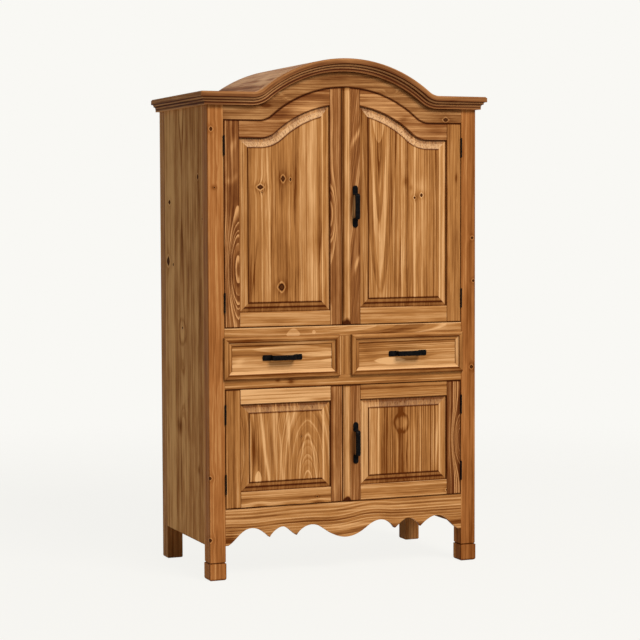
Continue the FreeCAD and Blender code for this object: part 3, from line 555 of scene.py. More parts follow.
opening_line = ArchLine(opening_shoulder, opening_rise, opening_round, opening_hollow)
crown_rise = 0.139
crown_round = 0.57
crown_hollow = 0.07
crown_line = ArchLine(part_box("crown_front")[1].z - crown_rise, crown_rise, crown_round, crown_hollow)
crown_foot_drop = 0.0495
crown_foot = crown_line.inset(crown_foot_drop)
low_end, high_end, low_edge, high_edge = range(4)
frame_looks = {
    "header_rail": dict(
        tones=header_tones, seed=51.0, pith=(1.55, 0.03), lean=(0.03, 0.02), wander=0.05, figure=0.5,
        # The gap at the crown's foot paints the crown's contact shadow on the header as a dark line.
        cloud=1.2, light=-0.03, gaps=[opening_line, crown_foot], knots=[(0.44, 1.798, 0.007, 1.4, 0.5)],
        swells=[(0.2, 1.9, 0.04, 0.014, 3.0), (-0.28, 1.87, 0.03, 0.02, 2.0)],
        plumes=[(-0.335, 1.842, 0.02, 0.008, 0.0, -0.8), (-0.27, 1.885, 0.05, 0.008, -0.5, 0.25),
                (0.42, 1.81, 0.15, 0.06, 0.0, -0.1)]),
    "rail_above_drawers": dict(
        tones=golden_tones, seed=53.0, pith=(0.985, 0.03), lean=(-0.02, 0.09), light=0.13, figure=1.2,
        # A painted highlight runs along the top arris.
        worn=[0.9785], seamless=[low_edge], plumes=[(-0.225, 0.965, 0.07, 0.018, 0.0, -0.14)],
        flames=[(-0.224, 0.95, 0.031, 0.028, 0.0, 0.35), (-0.224, 0.932, 0.06, 0.011, 0.0, -0.3),
                (-0.137, 0.956, 0.009, 0.009, 0.0, 0.35)]),
    "rail_below_drawers": dict(
        tones=golden_tones, seed=57.0, pith=(0.66, 0.03), lean=(0.01, 0.02), light=-0.26,
        seamless=[high_edge],
        plumes=[(-0.235, 0.764, 0.014, 0.009, 0.0, -0.5), (-0.29, 0.77, 0.01, 0.005, 0.0, -0.4),
                (0.0, 0.75, 0.3, 0.006, 0.0, 0.2)]),
    "apron": dict(
        tones=golden_tones, seed=59.0, pith=(-0.1, 0.02), lean=(0.01, 0.01), ring=0.0115, figure=1.5,
        line=0.5, light=-0.05,
        swells=[(0.11, 0.23, 0.08, 0.12, -0.9), (-0.06, 0.23, 0.08, 0.12, 0.6),
                (-0.4, 0.25, 0.1, 0.1, 0.5)],
        plumes=[(0.0, 0.165, 0.12, 0.03, 0.0, 0.3), (-0.3, 0.19, 0.12, 0.03, 0.0, 0.12),
                (-0.49, 0.17, 0.03, 0.03, 0.0, -0.2), (0.2, 0.19, 0.05, 0.03, 0.0, -0.15)]),
    "drawer_divider": dict(tones=golden_tones, seed=61.0, axes="zxy", pith=(-0.2, 0.03), light=-0.22,
                           figure=0.6, seamless=[low_end, high_end]),
}
far_off = 9.0

# A seamless end or edge has no wax: its line is moved far off the board.
for name, look in frame_looks.items():
    axes = look.pop("axes", "xzy")
    rim = edges_of(name, axes)
    for edge in look.pop("seamless", ()):
        rim[edge] += -far_off if edge == low_end else far_off
    dress(name, pine(name, axes, rim=rim, **look))


# Thin roof boards follow the arch from front to back. A moulding of a broad band, two
# reeds and a fillet, mitred at the corners, is nailed round the top of the case.
case_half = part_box("side_panel_right")[1].x
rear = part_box("crown_return_left")[1].y
crown_overhang = 0.035
crown_nose = 0.004
crown_band = 0.021
crown_step = 0.003
crown_reed = 0.009
crown_reed_set = 0.007
crown_reed_count = 2
crown_quirk = 0.001
crown_fillet = 0.009
crown_arris = 0.0005
reed_bulge = 0.28
crown_stock = 0.02
quarter_bulge = 1 - math.sqrt(0.5)
roof_board_count = 12
crown_tones = stain(82, 38, 12), stain(152, 101, 58), stain(204, 150, 98)
roof_tones = stain(96, 58, 36), stain(150, 100, 66), stain(206, 162, 122)


def arc_points(start, end, bulge, count):
    """Points after the start of an arc through two ends whose middle stands out by bulge.

    The middle stands to the right of the way from start to end; each point is the chord's
    point plus the arc's height over it, along the chord's right-hand normal.
    """
    start, end = np.array(start), np.array(end)
    chord = end - start
    half = np.hypot(*chord) / 2
    radius = (half ** 2 + bulge ** 2) / (2 * bulge)
    sweep = math.asin(min(1.0, half / abs(radius))) * math.copysign(1, radius)
    turns = np.linspace(-sweep, sweep, count + 1)[1:]
    side = np.array([chord[1], -chord[0]]) / (2 * half)
    ahead = radius * np.sin(turns)
    height = radius * np.cos(turns) - (radius - bulge)
    return ((start + end) / 2 + ahead[:, None] * chord / (2 * half) + height[:, None] * side).tolist()


def grid_quads(index):
    """One quad for each cell of a grid of point numbers."""
    corners = index[:-1, :-1], index[:-1, 1:], index[1:, 1:], index[1:, :-1]
    return np.stack(corners, axis=-1).reshape(-1, 4)


def closed_sweep(rings):
    """Points, quads round a row of closed rings, and a flat cap at each end."""
    count, around = rings.shape[:2]
    index = np.arange(count * around).reshape(count, around)
    index = np.concatenate([index, index[:, :1]], axis=1)
    quads = grid_quads(index)
    return rings.reshape(-1, 3), quads, [index[0, :-1][::-1], index[-1, :-1]]


def outward(points, quads, caps):
    """All faces as lists, turned over if the volume inside them comes out below zero.

    The volume is a sixth of the sum, over triangles, of one corner's dot with the cross of
    the next two; a quad gives two triangles, and a cap gives a fan about its mean.
    """
    a, b, c, d = (points[quads[:, corner]] for corner in range(4))
    volume = (a * (np.cross(b, c) + np.cross(c, d))).sum()
    for cap in caps:
        ring = points[cap]
        volume += (np.cross(ring, np.roll(ring, -1, axis=0)) @ ring.mean(axis=0)).sum()
    way = 1 if volume > 0 else -1
    return quads[:, ::way].tolist() + [cap[::way].tolist() for cap in caps]


def make_piece(name, points, faces, material, body, nodes, carried=(), crease=35.0):
    """A closed mesh at its place, with its finish, its body and the nodes it stands for.

    Carried gives the numbers that its points hold for the finish, each under its name.
    """
    mesh = bpy.data.meshes.new(name)
    mesh.from_pydata(points.tolist(), [], faces)
    for key, values in dict(carried).items():
        if key == "board":
            mesh.attributes.new(key, "FLOAT_VECTOR", "POINT").data.foreach_set("vector", values.ravel())
        else:
            mesh.attributes.new(key, "FLOAT", "POINT").data.foreach_set("value", values.ravel())
    mesh.shade_smooth()
    mesh.set_sharp_from_angle(angle=math.radians(crease))
    mesh.materials.append(material)
    piece = bpy.data.objects.new(name, mesh)
    bpy.context.scene.collection.objects.link(piece)
    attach(piece, body)
    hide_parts(*nodes)


def crown_section():
    """Closed outline of the moulding as (out, down): its top, band, reeds, fillet and back."""
    points = [(0.0, 0.0), (crown_overhang - crown_nose, 0.0)]
    points += arc_points(points[-1], (crown_overhang, crown_nose), -crown_nose * quarter_bulge, 6)
    points += [(crown_overhang, crown_band - 5 * crown_arris), (crown_overhang, crown_band - crown_arris),
               (crown_overhang - crown_arris, crown_band), (crown_overhang - crown_step, crown_band)]
    out, down = points[-1]
    bulge = reed_bulge * math.hypot(crown_reed, crown_reed_set)
    for _ in range(crown_reed_count):
        end = (out - crown_reed_set, down + crown_reed)
        points += arc_points((out, down), end, -bulge, 10)
        out, down = end[0] - crown_quirk, end[1] + crown_quirk
        points += [(out, end[1]), (out, down)]
    points += [(out, down + crown_fillet), (0.0, down + crown_fillet)]
    return np.array(points)


# Wax and painted shade lie in the valleys beside the reeds and thinly on the fillet. The nose
# # and the reeds get painted highlights. Out and down are the places of the outline's points.
out, down = crown_section().T
valleys = crown_band + np.arange(crown_reed_count + 1) * (crown_reed + crown_quirk)
valley_reach = 0.0022
in_front = out > 0.002
in_valley = np.clip(1.6 - np.abs(down[:, None] - valleys) / valley_reach, 0, 1).max(axis=1)
above_fillet = down < valleys[-1] - crown_arris
on_reeds = (down > crown_band) & above_fillet
on_fillet = ~above_fillet & in_front
on_nose = np.clip(1 - np.abs(down - crown_nose / 2) / 0.003, 0, 1)
crown_glaze_and_shade = np.maximum(in_valley * in_front * 0.9, on_fillet * 0.2)
crown_painted_light = on_nose * 0.3 + on_reeds * 0.45 + 0.12


def front_rings():
    """Rings along the crown line from one mitre to the other.

    In the level ends a ring leans from its mitre, where X is the case's half width plus
    out, to the start of the hollow. Round the hollow and the arch it is the line's point
    less down times the line's upward normal.
    """
    lean = np.linspace(0, 1, 15)[:-1, None]
    level_x = -(case_half + out) * (1 - lean) - crown_line.reach * lean
    level_z = np.broadcast_to(crown_line.shoulder - down, level_x.shape)
    turn = np.linspace(0, crown_line.angle, 13)[:-1, None]
    hollow_x = -crown_line.reach + (crown_hollow + down) * np.sin(turn)
    hollow_z = crown_line.shoulder + crown_hollow - (crown_hollow + down) * np.cos(turn)
    sweep = np.linspace(-crown_line.angle, 0, 37)[:-1, None]
    arch_x = (crown_round - down) * np.sin(sweep)
    arch_z = crown_line.peak - crown_round + (crown_round - down) * np.cos(sweep)
    half_x = np.concatenate([level_x, hollow_x, arch_x])
    half_z = np.concatenate([level_z, hollow_z, arch_z])
    crest = np.stack([np.zeros_like(down), crown_line.peak - down])
    x = np.concatenate([half_x, crest[:1], -half_x[::-1]])
    z = np.concatenate([half_z, crest[1:], half_z[::-1]])
    return np.stack([x, np.broadcast_to(front - out, x.shape), z], axis=-1)


def side_rings(side):
    """Rings from the front mitre to the back, level all the way."""
    run = np.linspace(0, 1, 31)[:, None]
    y = (front - out) * (1 - run) + rear * run
    x = np.broadcast_to(side * (case_half + out), y.shape)
    return np.stack([x, y, np.broadcast_to(crown_line.shoulder - down, y.shape)], axis=-1)


def crown_piece(name, node, rings, seed, gloss):
    """One length of the moulding, sawn from its own board.

    The rings' length runs along the grain, down runs across it and out runs through it.
    """
    steps = np.linalg.norm(np.diff(rings.mean(axis=1), axis=0), axis=1)
    length = np.broadcast_to(np.concatenate([[0.0], np.cumsum(steps)])[:, None], rings.shape[:2])
    flat = np.ones_like(length)
    carried = {"board": np.stack([length, down * flat, (front + crown_stock - out) * flat], axis=-1),
               "glaze_and_shade": crown_glaze_and_shade * flat, "painted_light": crown_painted_light * flat}
    points, quads, caps = closed_sweep(rings)
    finish = pine(name, "xzy", crown_tones, seed, pith=(-0.1, 0.02), wander=0.03, figure=1.2, cloud=0.9,
                  line=0.2, gloss=gloss, carried=True, glazed_and_lit=True)
    make_piece(name, points, outward(points, quads, caps), finish, "cupboard_case", [node],
               carried)


crown_piece("crown_moulding_front", "crown_front", front_rings(), 71.0, 0.04)
crown_piece("crown_moulding_left", "crown_return_left", side_rings(-1), 74.0, 0.01)
crown_piece("crown_moulding_right", "crown_return_right", side_rings(1), 76.0, 0.01)
# Pale patches on the roof boards are painted sheen: painted highlights where the light from above falls.
roof_painted_sheen = [(-0.16, -0.3, 0.08, 0.03, 0.4, 0.45), (0.0, -0.42, 0.08, 0.02, 0.2, 0.3),
              (0.1, -0.2, 0.1, 0.03, 0.0, 0.25)]
roof_strips = glued_boards(case_half, roof_board_count)
dress("roof_boards", pine("roof_boards", "yxz", roof_tones, 77.0, pith=(0.2, 0.2), lean=(0.05, 0.02),
                          wander=0.05, strips=roof_strips, face=crown_line.peak, figure=0.6, line=0.25,
                          cloud=1.2, light=0.15, plumes=roof_painted_sheen, gloss=0.02, dull=0.6))


# Inside: floors, a dust board under the drawers and three loose shelves on cleats, the
# strips that the drawers run on and the blocks that the doors close against. Plain pine.
inside_tones = stain(164, 118, 72), stain(200, 160, 108), stain(222, 188, 140)
for name, axes, seed, pith in (
    ("upper_floor", "xyz", 81.0, (0.05, 1.2)),
    ("dust_board", "xyz", 83.0, (0.0, 1.1)),
    ("lower_floor", "xyz", 85.0, (0.02, 0.6)),
    ("shelves", "xyz", 87.0, (0.03, 2.2)),
    ("shelf_cleats", "yzx", 89.0, (0.5, 0.4)),
    ("drawer_guides", "yxz", 91.0, (0.1, 1.1)),
    ("door_stops", "xzy", 93.0, (0.3, 0.1)),
):
    dress(name, pine(name, axes, inside_tones, seed, pith=pith, lean=(0.02, 0.02), wander=0.03, cloud=0.3,
                     line=-0.4, dull=0.7))


# Each door is a frame of two stiles and two rails round a raised panel. Tenons hold the
# frame; the panel's tongue floats in a groove. The right door of a pair carries a bead.
door_groove = 0.008
tongue_depth = 0.008
door_tongue = 0.006
board_play = 0.0005
bevel_width = 0.037
band_end = 0.016
band_deep = 0.0092
band_high = 0.0064
hollow_deep = 0.0054
hollow_high = 0.0022
field_depth = 0.0006
arris = 0.0009
quirk_width = 0.0004
panel_round = 0.44
panel_hollow = 0.105
top_rail_width = 0.066
mitre_share = 0.002
lower_door_torn = 0.3
# Middles and reaches of three dark lines of wax and painted shade, at the frame, the quirk and the field,
# and of two painted highlights, on the field's arris and just outside it.
line_middle = np.array([0.0, band_end + 0.002, bevel_width - 0.0008])
line_reach = np.array([0.0025, 0.0035, 0.0027])
highlight_middle = np.array([bevel_width + 0.002, bevel_width - 0.005])
highlight_reach = np.array([0.003, 0.006])
# Wax and painted shade by band and side (left, head, right, foot): the head's frame line is the top rail's
# painted shadow, and the foot bevel, facing down, carries painted shade.
wax_and_shade_shares = np.array([[0.5, 1.0, 1.0, 0.65],
                       [0.1, 0.15, 0.1, 0.85],
                       [0.95, 0.9, 0.4, 1.0],
                       [0.0, 0.04, 0.0, 0.22]])
# Painted light by band and side: a painted shadow of the top rail on the head's outer band, and painted
# highlights on the field's arris and the line outside it.
painted_light_shares = np.array([[0.1, -0.5, 0.15, -0.1],
                       [0.0, 0.2, 0.2, 0.0],
                       [1.2, 0.1, 0.2, 0.1],
                       [0.0, 0.2, 1.0, 0.1]])
torn_shares = np.array([[0.0, 0.3, 0.0, 0.0],
                        [0.0, 1.0, 0.0, 0.0]])
soaked_shares = np.array([0.0, 0.0, 0.0, 0.6])
whole_head_dark = 0.65


class LevelLine:
    """A straight level edge seen from the front."""

    def __init__(self, height):
        self.height = height

    def inset(self, depth):
        """The line this far below it."""
        return LevelLine(self.height - depth)

    def height_at(self, x):
        """The same height for every X."""
        return np.full(np.shape(x), self.height)


def mitred(count):
    """Shares of a side: even steps, with one short step beside each corner."""
    return np.concatenate([[0, mitre_share], np.linspace(0, 1, count - 1)[1:-1], [1 - mitre_share, 1]])


def panel_outline(opening, inset, across, upright):
    """Closed loop at this inset: up the left, over the line, down the right and back.

    Like places on two loops lie square to each other along the sides, and on the mitre at
    the corners.
    """
    x0, x1, z0, line = opening
    line = line.inset(inset)
    left, right, foot = x0 + inset, x1 - inset, z0 + inset
    over = left + (right - left) * mitred(across)
    up_left = foot + (line.height_at(left) - foot) * mitred(upright)
    up_right = foot + (line.height_at(right) - foot) * mitred(upright)
    x = np.concatenate([np.full(upright, left), over[:-1], np.full(upright, right), over[:0:-1]])
    z = np.concatenate([up_left[:-1], line.height_at(over)[:-1], up_right[:0:-1], np.full(across, foot)])
    return x, z


def panel_face(opening, inset, across, upright):
    """Grid over the same outline, with the same steps in X and up from the foot to the line."""
    x0, x1, z0, line = opening
    line = line.inset(inset)
    x = (x0 + inset) + (x1 - x0 - 2 * inset) * mitred(across)
    z = (z0 + inset) + (line.height_at(x) - z0 - inset) * mitred(upright)[:, None]
    return np.broadcast_to(x, z.shape), z


def rim_index(across, upright):
    """Places in a grid of upright by across cells that lie on its rim, in the loop's order."""
    grid = np.arange((upright + 1) * (across + 1)).reshape(upright + 1, across + 1)
    return np.concatenate([grid[:-1, 0], grid[-1, :-1], grid[:0:-1, -1], grid[0, :0:-1]])


def bevel_dirt_and_light(inset, across, upright, torn):
    """Glaze and painted shade, painted light, end grain and soaking of every loop point, from its inset and
    its side.

    Each is a sum of bands of the bevel, by inset, times a table of shares with one row for
    each band and a column each for the left, the head, the right and the foot. Wax and
    painted shade lie in three lines, at the frame, at the quirk and at the field, and over
    the bevel: the head's frame line is the top rail's painted shadow, and the foot bevel,
    which faces down, carries the most painted shade. Painted highlights and painted shade
    lighten or darken the outer and the inner bevel, and painted highlights lie on the
    field's arris and a line just outside it. The head bevel is pale where its end grain is
    torn, and the less torn the darker.
    """
    lines = np.clip(1.25 - np.abs(inset[:, None] - line_middle) / line_reach * 0.8, 0, 1)
    on_bevel = ((inset > 0.001) & (inset < bevel_width - 0.0005)) * 1.0
    outer = on_bevel * (inset < band_end)
    inner = on_bevel - outer
    on_arris, outside = np.clip(1 - np.abs(inset - highlight_middle[:, None]) / highlight_reach[:, None], 0, 1)
    glaze_and_shade = np.column_stack([lines, on_bevel]) @ wax_and_shade_shares
    painted_light = np.column_stack([outer, inner, on_arris, outside]) @ painted_light_shares
    painted_light[:, 1] -= (1 - torn) * on_bevel * whole_head_dark
    ends = np.column_stack([outer, inner]) @ torn_shares * torn
    soaked = on_bevel[:, None] * soaked_shares
    sides = np.repeat(np.eye(4), [upright, across, upright, across], axis=0)
    return [np.clip(glaze_and_shade, 0, 1) @ sides.T, painted_light @ sides.T, ends @ sides.T, soaked @ sides.T]


def raised_panel(name, opening, material, body, node, torn, across=42, upright=62):
    """Closed panel: a flat back, a tongue, a sloping band, a quirk, a hollow and the field.

    The hollow's depth falls by the square of the way across it, so it is steepest where it
    meets the step up to the field.
    """
    lip = board_play - door_groove
    steps = [(lip, tongue_depth + door_tongue), (lip, tongue_depth)]
    steps += [(inset, band_deep + (band_high - band_deep) * inset / band_end)
              for inset in (0.0, 0.0012, 0.003, 0.008, band_end - 0.0025, band_end)]
    quirk = band_end + quirk_width
    steps += [(quirk, hollow_deep)]
    for share in np.linspace(0, 1, 9)[1:]:
        inset = quirk + (bevel_width - quirk_width - quirk) * share
        steps.append((inset, hollow_deep + (hollow_high - hollow_deep) * share ** 2))
    steps += [(bevel_width, field_depth + arris), (bevel_width + arris / 2, field_depth + arris / 4),
              (bevel_width + arris, field_depth), (bevel_width + 0.005, field_depth)]
    loops = []
    for inset, depth in steps:
        x, z = panel_outline(opening, inset, across, upright)
        loops.append(np.stack([x, np.full_like(x, front + depth), z], axis=-1))
    marks = [mark.reshape(-1) for mark in bevel_dirt_and_light(np.array(steps)[:, 0], across, upright, torn)]
    around = len(loops[0])
    index = np.arange(len(steps) * around).reshape(len(steps), around)
    closed = np.concatenate([index, index[:, :1]], axis=1)
    quads = [grid_quads(closed.T)]
    points = [np.concatenate(loops)]
    count = index.size
    rim = rim_index(across, upright)
    for loop, (inset, depth), turn in ((index[0], steps[0], -1), (index[-1], steps[-1], 1)):
        x, z = panel_face(opening, inset, across, upright)
        grid = np.full((upright + 1) * (across + 1), -1)
        grid[rim] = loop
        inner = grid < 0
        grid[inner] = count + np.arange(inner.sum())
        count += inner.sum()
        points.append(np.stack([x, np.full_like(x, front + depth), z], axis=-1).reshape(-1, 3)[inner])
        marks = [np.concatenate([mark, np.zeros(inner.sum())]) for mark in marks]
        grid = grid.reshape(upright + 1, across + 1)
        quads.append(grid_quads(grid)[:, ::turn])
    points = np.concatenate(points)
    faces = outward(points, np.concatenate(quads), [])
    make_piece(name, points, faces, material, body, [node],
               zip(("glaze_and_shade", "painted_light", "end_grain", "soaked"), marks), crease=24.0)


def door_opening(door):
    """Left and right of the opening between a door's stiles."""
    boxes = sorted([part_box("{}_{}".format(door, stile)) for stile in ("hinge_stile", "meeting_stile")],
                   key=lambda box: box[0].x)
    return boxes[0][1].x, boxes[1][0].x


lower_rail = 0.061
upper_rail = {"left": 0.0575, "right": 0.065}
lower_top_rail = 0.0565
foot_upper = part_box("door_upper_left_hinge_stile")[0].z
foot_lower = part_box("door_lower_left_hinge_stile")[0].z
head_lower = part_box("door_lower_left_hinge_stile")[1].z
door_top = opening_line.inset(door_gap)
panel_top = ArchLine(door_top.shoulder - top_rail_width, opening_rise, panel_round, panel_hollow)
lower_top = LevelLine(head_lower - lower_top_rail)
panel_looks = {
    "upper_left": dict(
        seed=101.0, pith=(-0.262, 0.06), lean=(0.004, 0.0), light=-0.02,
        strips=[(-0.6, 0.75, -0.02), (-0.338, 0.0, 0.0), (-0.2, 0.5, -0.01)],
        knots=[(1.526, -0.359, 0.0115, 0.7, 1.2), (1.559, -0.264, 0.008, 1.4, 0.3),
               (1.137, -0.272, 0.011, 1.2, 0.3), (1.506, -0.352, 0.003, 1.0, 0.0),
               (1.556, -0.233, 0.004, 1.6, 0.0)],
        plumes=[(1.33, -0.256, 0.26, 0.028, 0.0, -0.06), (1.4, -0.3, 0.25, 0.003, 0.0, 0.3),
                (1.45, -0.238, 0.25, 0.003, 0.0, 0.3), (1.2, -0.385, 0.12, 0.003, 0.12, -0.35),
                (1.2, -0.398, 0.12, 0.003, 0.05, -0.3), (1.45, -0.325, 0.25, 0.003, -0.02, 0.35),
                (1.35, -0.315, 0.3, 0.004, 0.0, -0.2), (1.56, -0.262, 0.08, 0.035, 0.0, -0.15),
                (1.45, -0.213, 0.12, 0.0035, 0.02, -0.35), (1.3, -0.108, 0.08, 0.0035, 0.09, -0.35),
                (1.3, -0.135, 0.05, 0.03, 0.0, -0.15), (1.15, -0.385, 0.1, 0.02, 0.1, -0.22),
                (1.62, -0.15, 0.2, 0.03, 0.0, 0.12), (1.3, -0.33, 0.3, 0.005, 0.0, 0.25),
                (1.62, -0.33, 0.08, 0.005, -0.05, 0.3)]),
    "upper_right": dict(
        seed=107.0, pith=(0.147, 0.0853), lean=(0.0, -0.0467), light=-0.05,
        strips=[(-0.6, 0.0, 0.0), (0.24, 0.6, 0.02)],
        knots=[(1.485, 0.302, 0.005, 1.1, 0.8), (1.495, 0.332, 0.006, 1.2, 0.8)],
        plumes=[(1.55, 0.262, 0.02, 0.012, 0.0, -0.3), (1.525, 0.286, 0.012, 0.008, 0.0, -0.28),
                (1.53, 0.32, 0.03, 0.035, 0.0, 0.2), (1.12, 0.22, 0.07, 0.02, 0.1, 0.05),
                (1.55, 0.285, 0.15, 0.008, 0.0, 0.15), (1.43, 0.335, 0.15, 0.015, 0.0, 0.15),
                (1.62, 0.398, 0.08, 0.004, 0.0, -0.4), (1.3, 0.24, 0.2, 0.003, 0.02, -0.25),
                (1.65, 0.2, 0.12, 0.012, 0.0, 0.12)],
        arches=[(1.7, 0.145, 0.08, 0.027, 0.33), (1.375, 0.147, 0.375, 0.032, -0.3),
                (1.15, 0.15, 0.66, 0.046, 0.34), (1.09, 0.15, 0.4, 0.06, -0.28)]),
    "lower_left": dict(
        seed=113.0, pith=(-0.165, -0.089), lean=(0.0, 0.27), strips=[(-0.6, 0.8, -0.02), (-0.3, 0.0, 0.02)],
        line=0.4, figure=0.7, knots=[(0.548, -0.192, 0.003, 1.0, 0.0)],
        arches=[(0.568, -0.165, -0.18, 0.039, 0.35), (0.553, -0.165, -0.17, 0.035, -0.35)],
        plumes=[(0.55, -0.388, 0.1, 0.012, 0.0, -0.4), (0.46, -0.372, 0.07, 0.02, -0.1, -0.25),
                (0.5, -0.345, 0.25, 0.006, -0.135, 0.55), (0.5, -0.405, 0.2, 0.005, 0.0, 0.25),
                (0.52, -0.283, 0.25, 0.004, -0.08, 0.3), (0.58, -0.248, 0.08, 0.006, 0.0, 0.4),
                (0.5, -0.315, 0.2, 0.008, -0.1, -0.25)],
        flames=[(0.388, -0.374, 0.035, 0.016, 0.0, 0.6)]),
    "lower_right": dict(
        seed=127.0, pith=(0.242, 0.06), lean=(0.0, 0.0), line=-0.6, figure=0.9, ring=0.0095, light=-0.02,
        strips=[(-0.6, 0.7, 0.16), (0.14, 0.25, -0.06), (0.19, 0.0, -0.02), (0.29, 0.35, -0.06)],
        burls=[(0.582, 0.243, 0.022, 0.02, 0.0, 0.34)],
        plumes=[(0.63, 0.245, 0.03, 0.03, 0.0, -0.13), (0.46, 0.238, 0.2, 0.02, 0.0, 0.02),
                (0.47, 0.212, 0.09, 0.004, 0.0, -0.25), (0.47, 0.268, 0.09, 0.004, 0.0, -0.25),
                (0.5, 0.4, 0.09, 0.006, 0.07, 0.5), (0.5, 0.285, 0.12, 0.006, 0.0, 0.15)]),
}
for key, look in panel_looks.items():
    level, side = key.split("_")
    door = "door_" + key
    foot = foot_upper + upper_rail[side] if level == "upper" else foot_lower + lower_rail
    finish = pine(door + "_panel", "zxy", golden_tones, glazed_and_lit=True, **look)
    opening = (*door_opening(door), foot, panel_top if level == "upper" else lower_top)
    torn = 1.0 if level == "upper" else lower_door_torn
    raised_panel(door + "_raised_panel", opening, finish, door, door + "_panel", torn)

frame_part_looks = {
    "door_upper_left_hinge_stile": dict(
        tones=brown_tones, seed=131.0, light=-0.06, pith=(-0.452, 0.0485), lean=(0.0, 0.0), line=1.0,
        figure=0.2, ring=0.007, cloud=1.3, swells=[(1.21, -0.45, 0.15, 0.045, -6.0)],
        plumes=[(1.21, -0.45, 0.05, 0.012, 0.0, 0.1), (1.72, -0.49, 0.05, 0.02, 0.0, -0.1),
                (1.6, -0.46, 0.1, 0.03, 0.0, 0.12), (1.43, -0.458, 0.03, 0.006, 0.0, 0.35),
                (1.56, -0.464, 0.02, 0.01, 0.3, 0.35), (1.55, -0.49, 0.012, 0.012, 0.0, 0.3),
                (1.69, -0.47, 0.03, 0.012, 0.3, 0.3)]),
    "door_upper_left_meeting_stile": dict(
        tones=brown_tones, seed=133.0, pith=(-0.066, 0.04), lean=(0.0, 0.0), light=0.05, line=0.5,
        figure=1.2, swells=[(1.42, -0.066, 0.11, 0.03, -4.0)], gaps=[door_top]),
    "door_upper_right_hinge_stile": dict(
        tones=golden_tones, seed=135.0, pith=(0.3, 0.02), lean=(0.05, 0.0), light=-0.12, line=0.15,
        figure=0.5, plumes=[(1.565, 0.487, 0.018, 0.005, 0.0, -0.4)]),
    "door_upper_right_meeting_stile": dict(
        tones=brown_tones, seed=137.0, pith=(0.06, 0.02), lean=(0.12, 0.05), light=-0.09, line=0.3,
        plumes=[(1.73, 0.048, 0.04, 0.009, 0.5, 0.5), (1.235, 0.054, 0.035, 0.008, 0.4, 0.55)],
        gaps=[door_top]),
    "door_lower_left_hinge_stile": dict(
        tones=golden_tones, seed=139.0, pith=(-0.3, 0.03), lean=(0.01, 0.0), light=-0.15, line=0.2,
        figure=0.7),
    "door_lower_left_meeting_stile": dict(
        tones=brown_tones, seed=141.0, pith=(0.1, 0.02), lean=(0.0, 0.02), light=-0.06, cloud=1.1),
    "door_lower_right_hinge_stile": dict(
        tones=brown_tones, seed=143.0, pith=(0.508, 0.04), lean=(0.0, 0.0), light=-0.13, line=0.9,
        figure=0.4, ring=0.006, swells=[(0.5, 0.53, 0.09, 0.05, -7.0)]),
    "door_lower_right_meeting_stile": dict(
        tones=brown_tones, seed=145.0, pith=(0.2, 0.03), lean=(0.02, 0.03)),
    "door_upper_left_top_rail": dict(
        tones=brown_tones, seed=151.0, pith=(1.6, 0.03), light=-0.1, figure=0.45, cloud=0.9,
        gaps=[door_top, panel_top],
        plumes=[(-0.16, 1.835, 0.1, 0.045, 0.2, 0.36), (-0.256, 1.772, 0.03, 0.006, 0.1, -0.25)]),
    "door_upper_left_bottom_rail": dict(
        tones=golden_tones, seed=153.0, pith=(0.9, 0.03), light=0.04, worn=[1.0445],
        plumes=[(-0.3, 1.005, 0.1, 0.006, 0.0, -0.3)]),
    "door_upper_right_top_rail": dict(
        tones=brown_tones, seed=155.0, pith=(1.6, 0.03), light=0.15, figure=0.6, cloud=0.9,
        gaps=[door_top, panel_top],
        plumes=[(0.25, 1.795, 0.02, 0.012, 0.3, -0.3), (0.4, 1.76, 0.06, 0.02, 0.0, -0.15)]),
    "door_upper_right_bottom_rail": dict(
        tones=golden_tones, seed=157.0, pith=(0.9, 0.03), light=0.09, figure=0.3, line=0.15, worn=[1.052]),
    "door_lower_left_rails": dict(
        tones=golden_tones, seed=159.0, pith=(0.1, 0.03), light=-0.05, line=0.3,
        knots=[(-0.125, 0.305, 0.004, 1.0, 0.0)], worn=[0.348],
        swells=[(-0.37, 0.284, 0.035, 0.012, -3.0), (-0.12, 0.284, 0.03, 0.01, -3.0),
                (-0.24, 0.284, 0.04, 0.01, -2.0)],
        flames=[(-0.27, 0.722, 0.5, 0.06, 0.0, 0.38)], plumes=[(-0.1, 0.692, 0.06, 0.008, 0.0, -0.5)]),
    "door_lower_right_rails": dict(
        tones=golden_tones, seed=161.0, pith=(0.1, 0.03), light=0.08, worn=[0.348],
        knots=[(0.452, 0.297, 0.006, 1.4, 0.0)], flames=[(0.25, 0.72, 0.6, 0.05, 0.0, -0.08)]),
}
for name, look in frame_part_looks.items():
    axes = "zxy" if name.endswith("stile") else "xzy"
    rim = edges_of(name, axes)
    # Rails with a painted highlight on the top arris have no wax along that edge.
    if "worn" in look:  # These rails have no wax along their top edge.
        del rim[high_edge]
    dress(name, pine(name, axes, rim=rim, **look))

astragal_fillet = 0.003
astragal_lip = 0.0025
astragal_proud = 0.0095
astragal_bevel = 0.016
astragal_arris = 0.0004
astragal_valley = 0.0016
astragal_top_wax = 0.004


